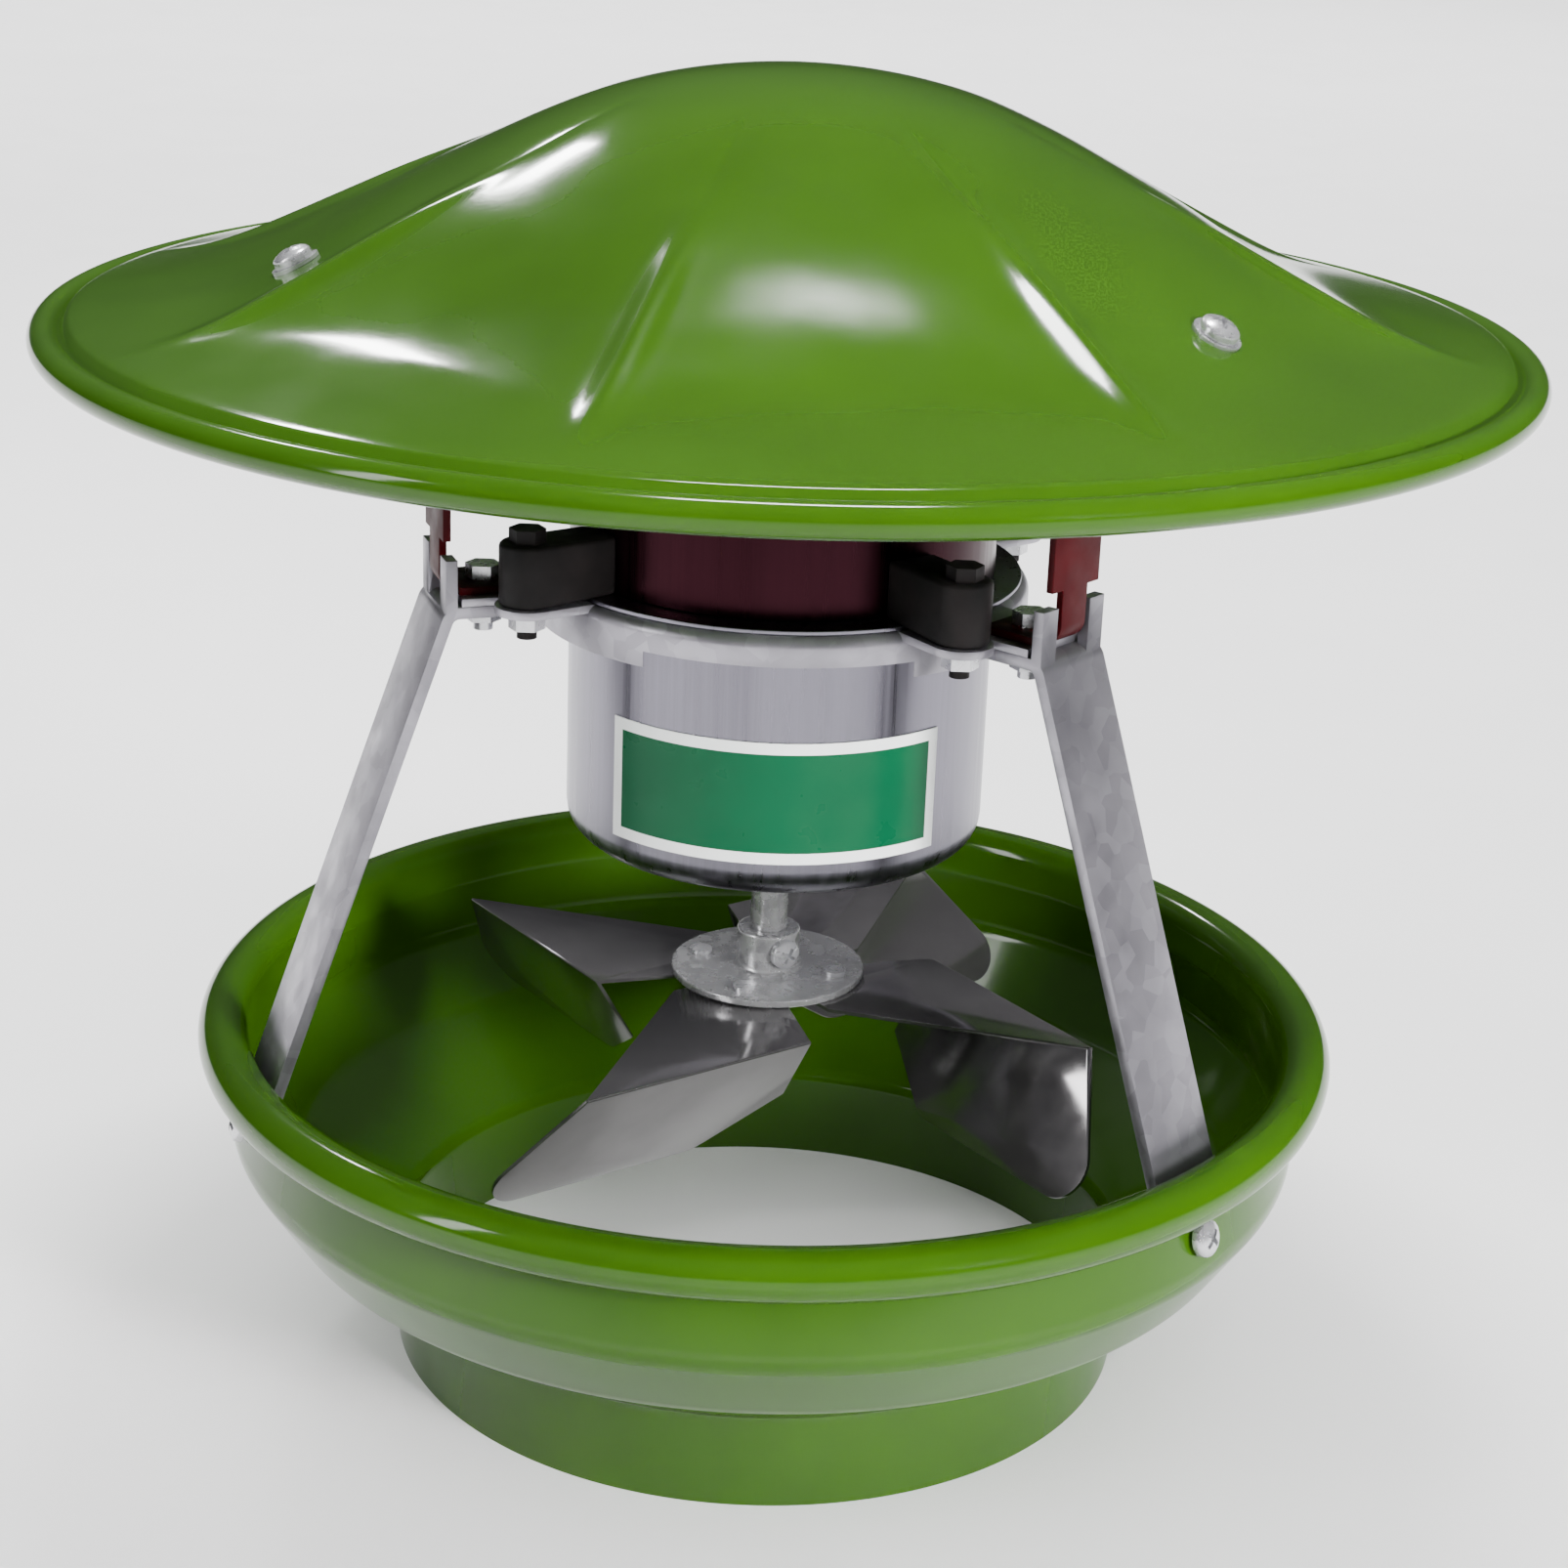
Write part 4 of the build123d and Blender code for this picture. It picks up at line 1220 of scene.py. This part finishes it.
def studio_lights():
    """Lights over the cap, from both sides, into the bowl, from the front and on the floor behind."""
    soft_light(
        "top_softbox",
        place=(0.02, 0.24, 1.68),
        target=(0.0, -0.1, 0.3),
        size=(0.46, 0.16),
        power=30.0,
        mirrored=True,
    )
    soft_light(
        "ridge_light",
        place=(-0.51, 0.975, 1.10),
        target=(-0.12, 0.0, 0.33),
        size=(0.10, 0.10),
        power=3.6,
        mirrored=True,
    )
    soft_light(
        "left_strip",
        place=(-1.5, -0.9, 0.9),
        target=(0.0, 0.0, 0.2),
        size=(0.25, 1.0),
        power=12.0,
        mirrored=True,
    )
    soft_light(
        "right_fill",
        place=(1.25, -1.35, 0.75),
        target=(-0.05, 0.05, 0.12),
        size=(1.0, 1.0),
        power=14.0,
        mirrored=False,
    )
    soft_light(
        "bowl_light",
        place=(0.9, -1.0, 0.55),
        target=(-0.10, 0.05, 0.09),
        size=(0.32, 0.32),
        power=1.45,
        mirrored=False,
        spread=25.0,
    )
    open_light("front_light", direction=(0.10, -0.8, 1.0), strength=2.9)
    soft_light(
        "floor_light",
        place=(0.0, 3.2, 2.4),
        target=(0.0, 2.6, 0.0),
        size=(5.0, 3.0),
        power=230.0,
        mirrored=False,
    )


def studio_world():
    """Pale backdrop, with a surround that lights dimly near the horizon and more overhead."""
    world = bpy.data.worlds.new("studio")
    world.use_nodes = True
    nodes = world.node_tree.nodes
    links = world.node_tree.links
    height = nodes.new("ShaderNodeSeparateXYZ")
    links.new(nodes.new("ShaderNodeTexCoord").outputs["Generated"], height.inputs["Vector"])
    fade = nodes.new("ShaderNodeValToRGB")
    for element, (position, colour) in zip(fade.color_ramp.elements, (HORIZON, OVERHEAD)):
        element.position = position
        element.color = colour
    links.new(height.outputs["Z"], fade.inputs["Fac"])
    surround = nodes["Background"]
    surround.inputs["Strength"].default_value = SURROUND_STRENGTH
    links.new(fade.outputs["Color"], surround.inputs["Color"])
    backdrop = nodes.new("ShaderNodeBackground")
    backdrop.inputs["Color"].default_value = BACKDROP
    backdrop.inputs["Strength"].default_value = BACKDROP_STRENGTH
    seen = nodes.new("ShaderNodeMixShader")
    links.new(nodes.new("ShaderNodeLightPath").outputs["Is Camera Ray"], seen.inputs[0])
    links.new(surround.outputs["Background"], seen.inputs[1])
    links.new(backdrop.outputs["Background"], seen.inputs[2])
    links.new(seen.outputs["Shader"], nodes["World Output"].inputs["Surface"])
    return world


def photo_camera():
    """Camera in front of the fan, a little above it."""
    lens = bpy.data.cameras.new("photo_camera")
    lens.sensor_width = CAMERA_SENSOR
    lens.lens = CAMERA_LENS
    lens.clip_start = CAMERA_NEAR
    camera = bpy.data.objects.new("photo_camera", lens)
    turn = Matrix.Rotation(math.radians(CAMERA_TURN), 4, "Z")
    tilt = Matrix.Rotation(math.radians(90.0 - CAMERA_DOWN), 4, "X")
    roll = Matrix.Rotation(math.radians(CAMERA_ROLL), 4, "Z")
    camera.matrix_world = Matrix.Translation(CAMERA_PLACE) @ turn @ tilt @ roll
    return camera


class FAN_OT_stage(Operator):
    """Set the floor, the lights and the camera"""

    bl_idname = "draught_fan.stage"
    bl_label = "Studio Stage"

    def execute(self, context):
        clear_selection()
        bpy.ops.mesh.primitive_plane_add(size=FLOOR_SIZE)
        floor = bpy.context.object
        floor.name = "studio_floor"
        floor.data.materials.append(floor_finish())

        context.scene.world = studio_world()
        studio_lights()
        camera = photo_camera()
        context.scene.collection.objects.link(camera)
        context.scene.camera = camera
        return {"FINISHED"}


class FAN_PT_panel(Panel):
    """Sidebar list of the fan's pieces"""

    bl_idname = "FAN_PT_panel"
    bl_label = "Draught Fan"
    bl_space_type = "VIEW_3D"
    bl_region_type = "UI"
    bl_category = "Draught Fan"

    def draw(self, context):
        for operator in OPERATORS:
            self.layout.operator(operator.bl_idname)


OPERATORS = (
    FAN_OT_cap,
    FAN_OT_bowl,
    FAN_OT_motor,
    FAN_OT_plate,
    FAN_OT_folded,
    FAN_OT_fan,
    FAN_OT_screws,
    FAN_OT_carried,
    FAN_OT_stage,
)
CLASSES = (FanSizes, FanColours) + OPERATORS + (FAN_PT_panel,)


def register():
    """Registers the classes and the scene's settings."""
    for item in CLASSES:
        bpy.utils.register_class(item)
    bpy.types.Scene.fan_sizes = PointerProperty(type=FanSizes)
    bpy.types.Scene.fan_colours = PointerProperty(type=FanColours)


def unregister():
    """Removes the settings and the classes."""
    del bpy.types.Scene.fan_colours
    del bpy.types.Scene.fan_sizes
    for item in reversed(CLASSES):
        bpy.utils.unregister_class(item)


def main():
    """Builds every piece and the stage."""
    register()
    make_finishes()
    bpy.ops.draught_fan.cap()
    bpy.ops.draught_fan.bowl()
    bpy.ops.draught_fan.motor()
    bpy.ops.draught_fan.plate()
    bpy.ops.draught_fan.folded()
    bpy.ops.draught_fan.fan()
    bpy.ops.draught_fan.screws()
    bpy.ops.draught_fan.carried()
    bpy.ops.draught_fan.stage()


if __name__ == "__main__":
    main()
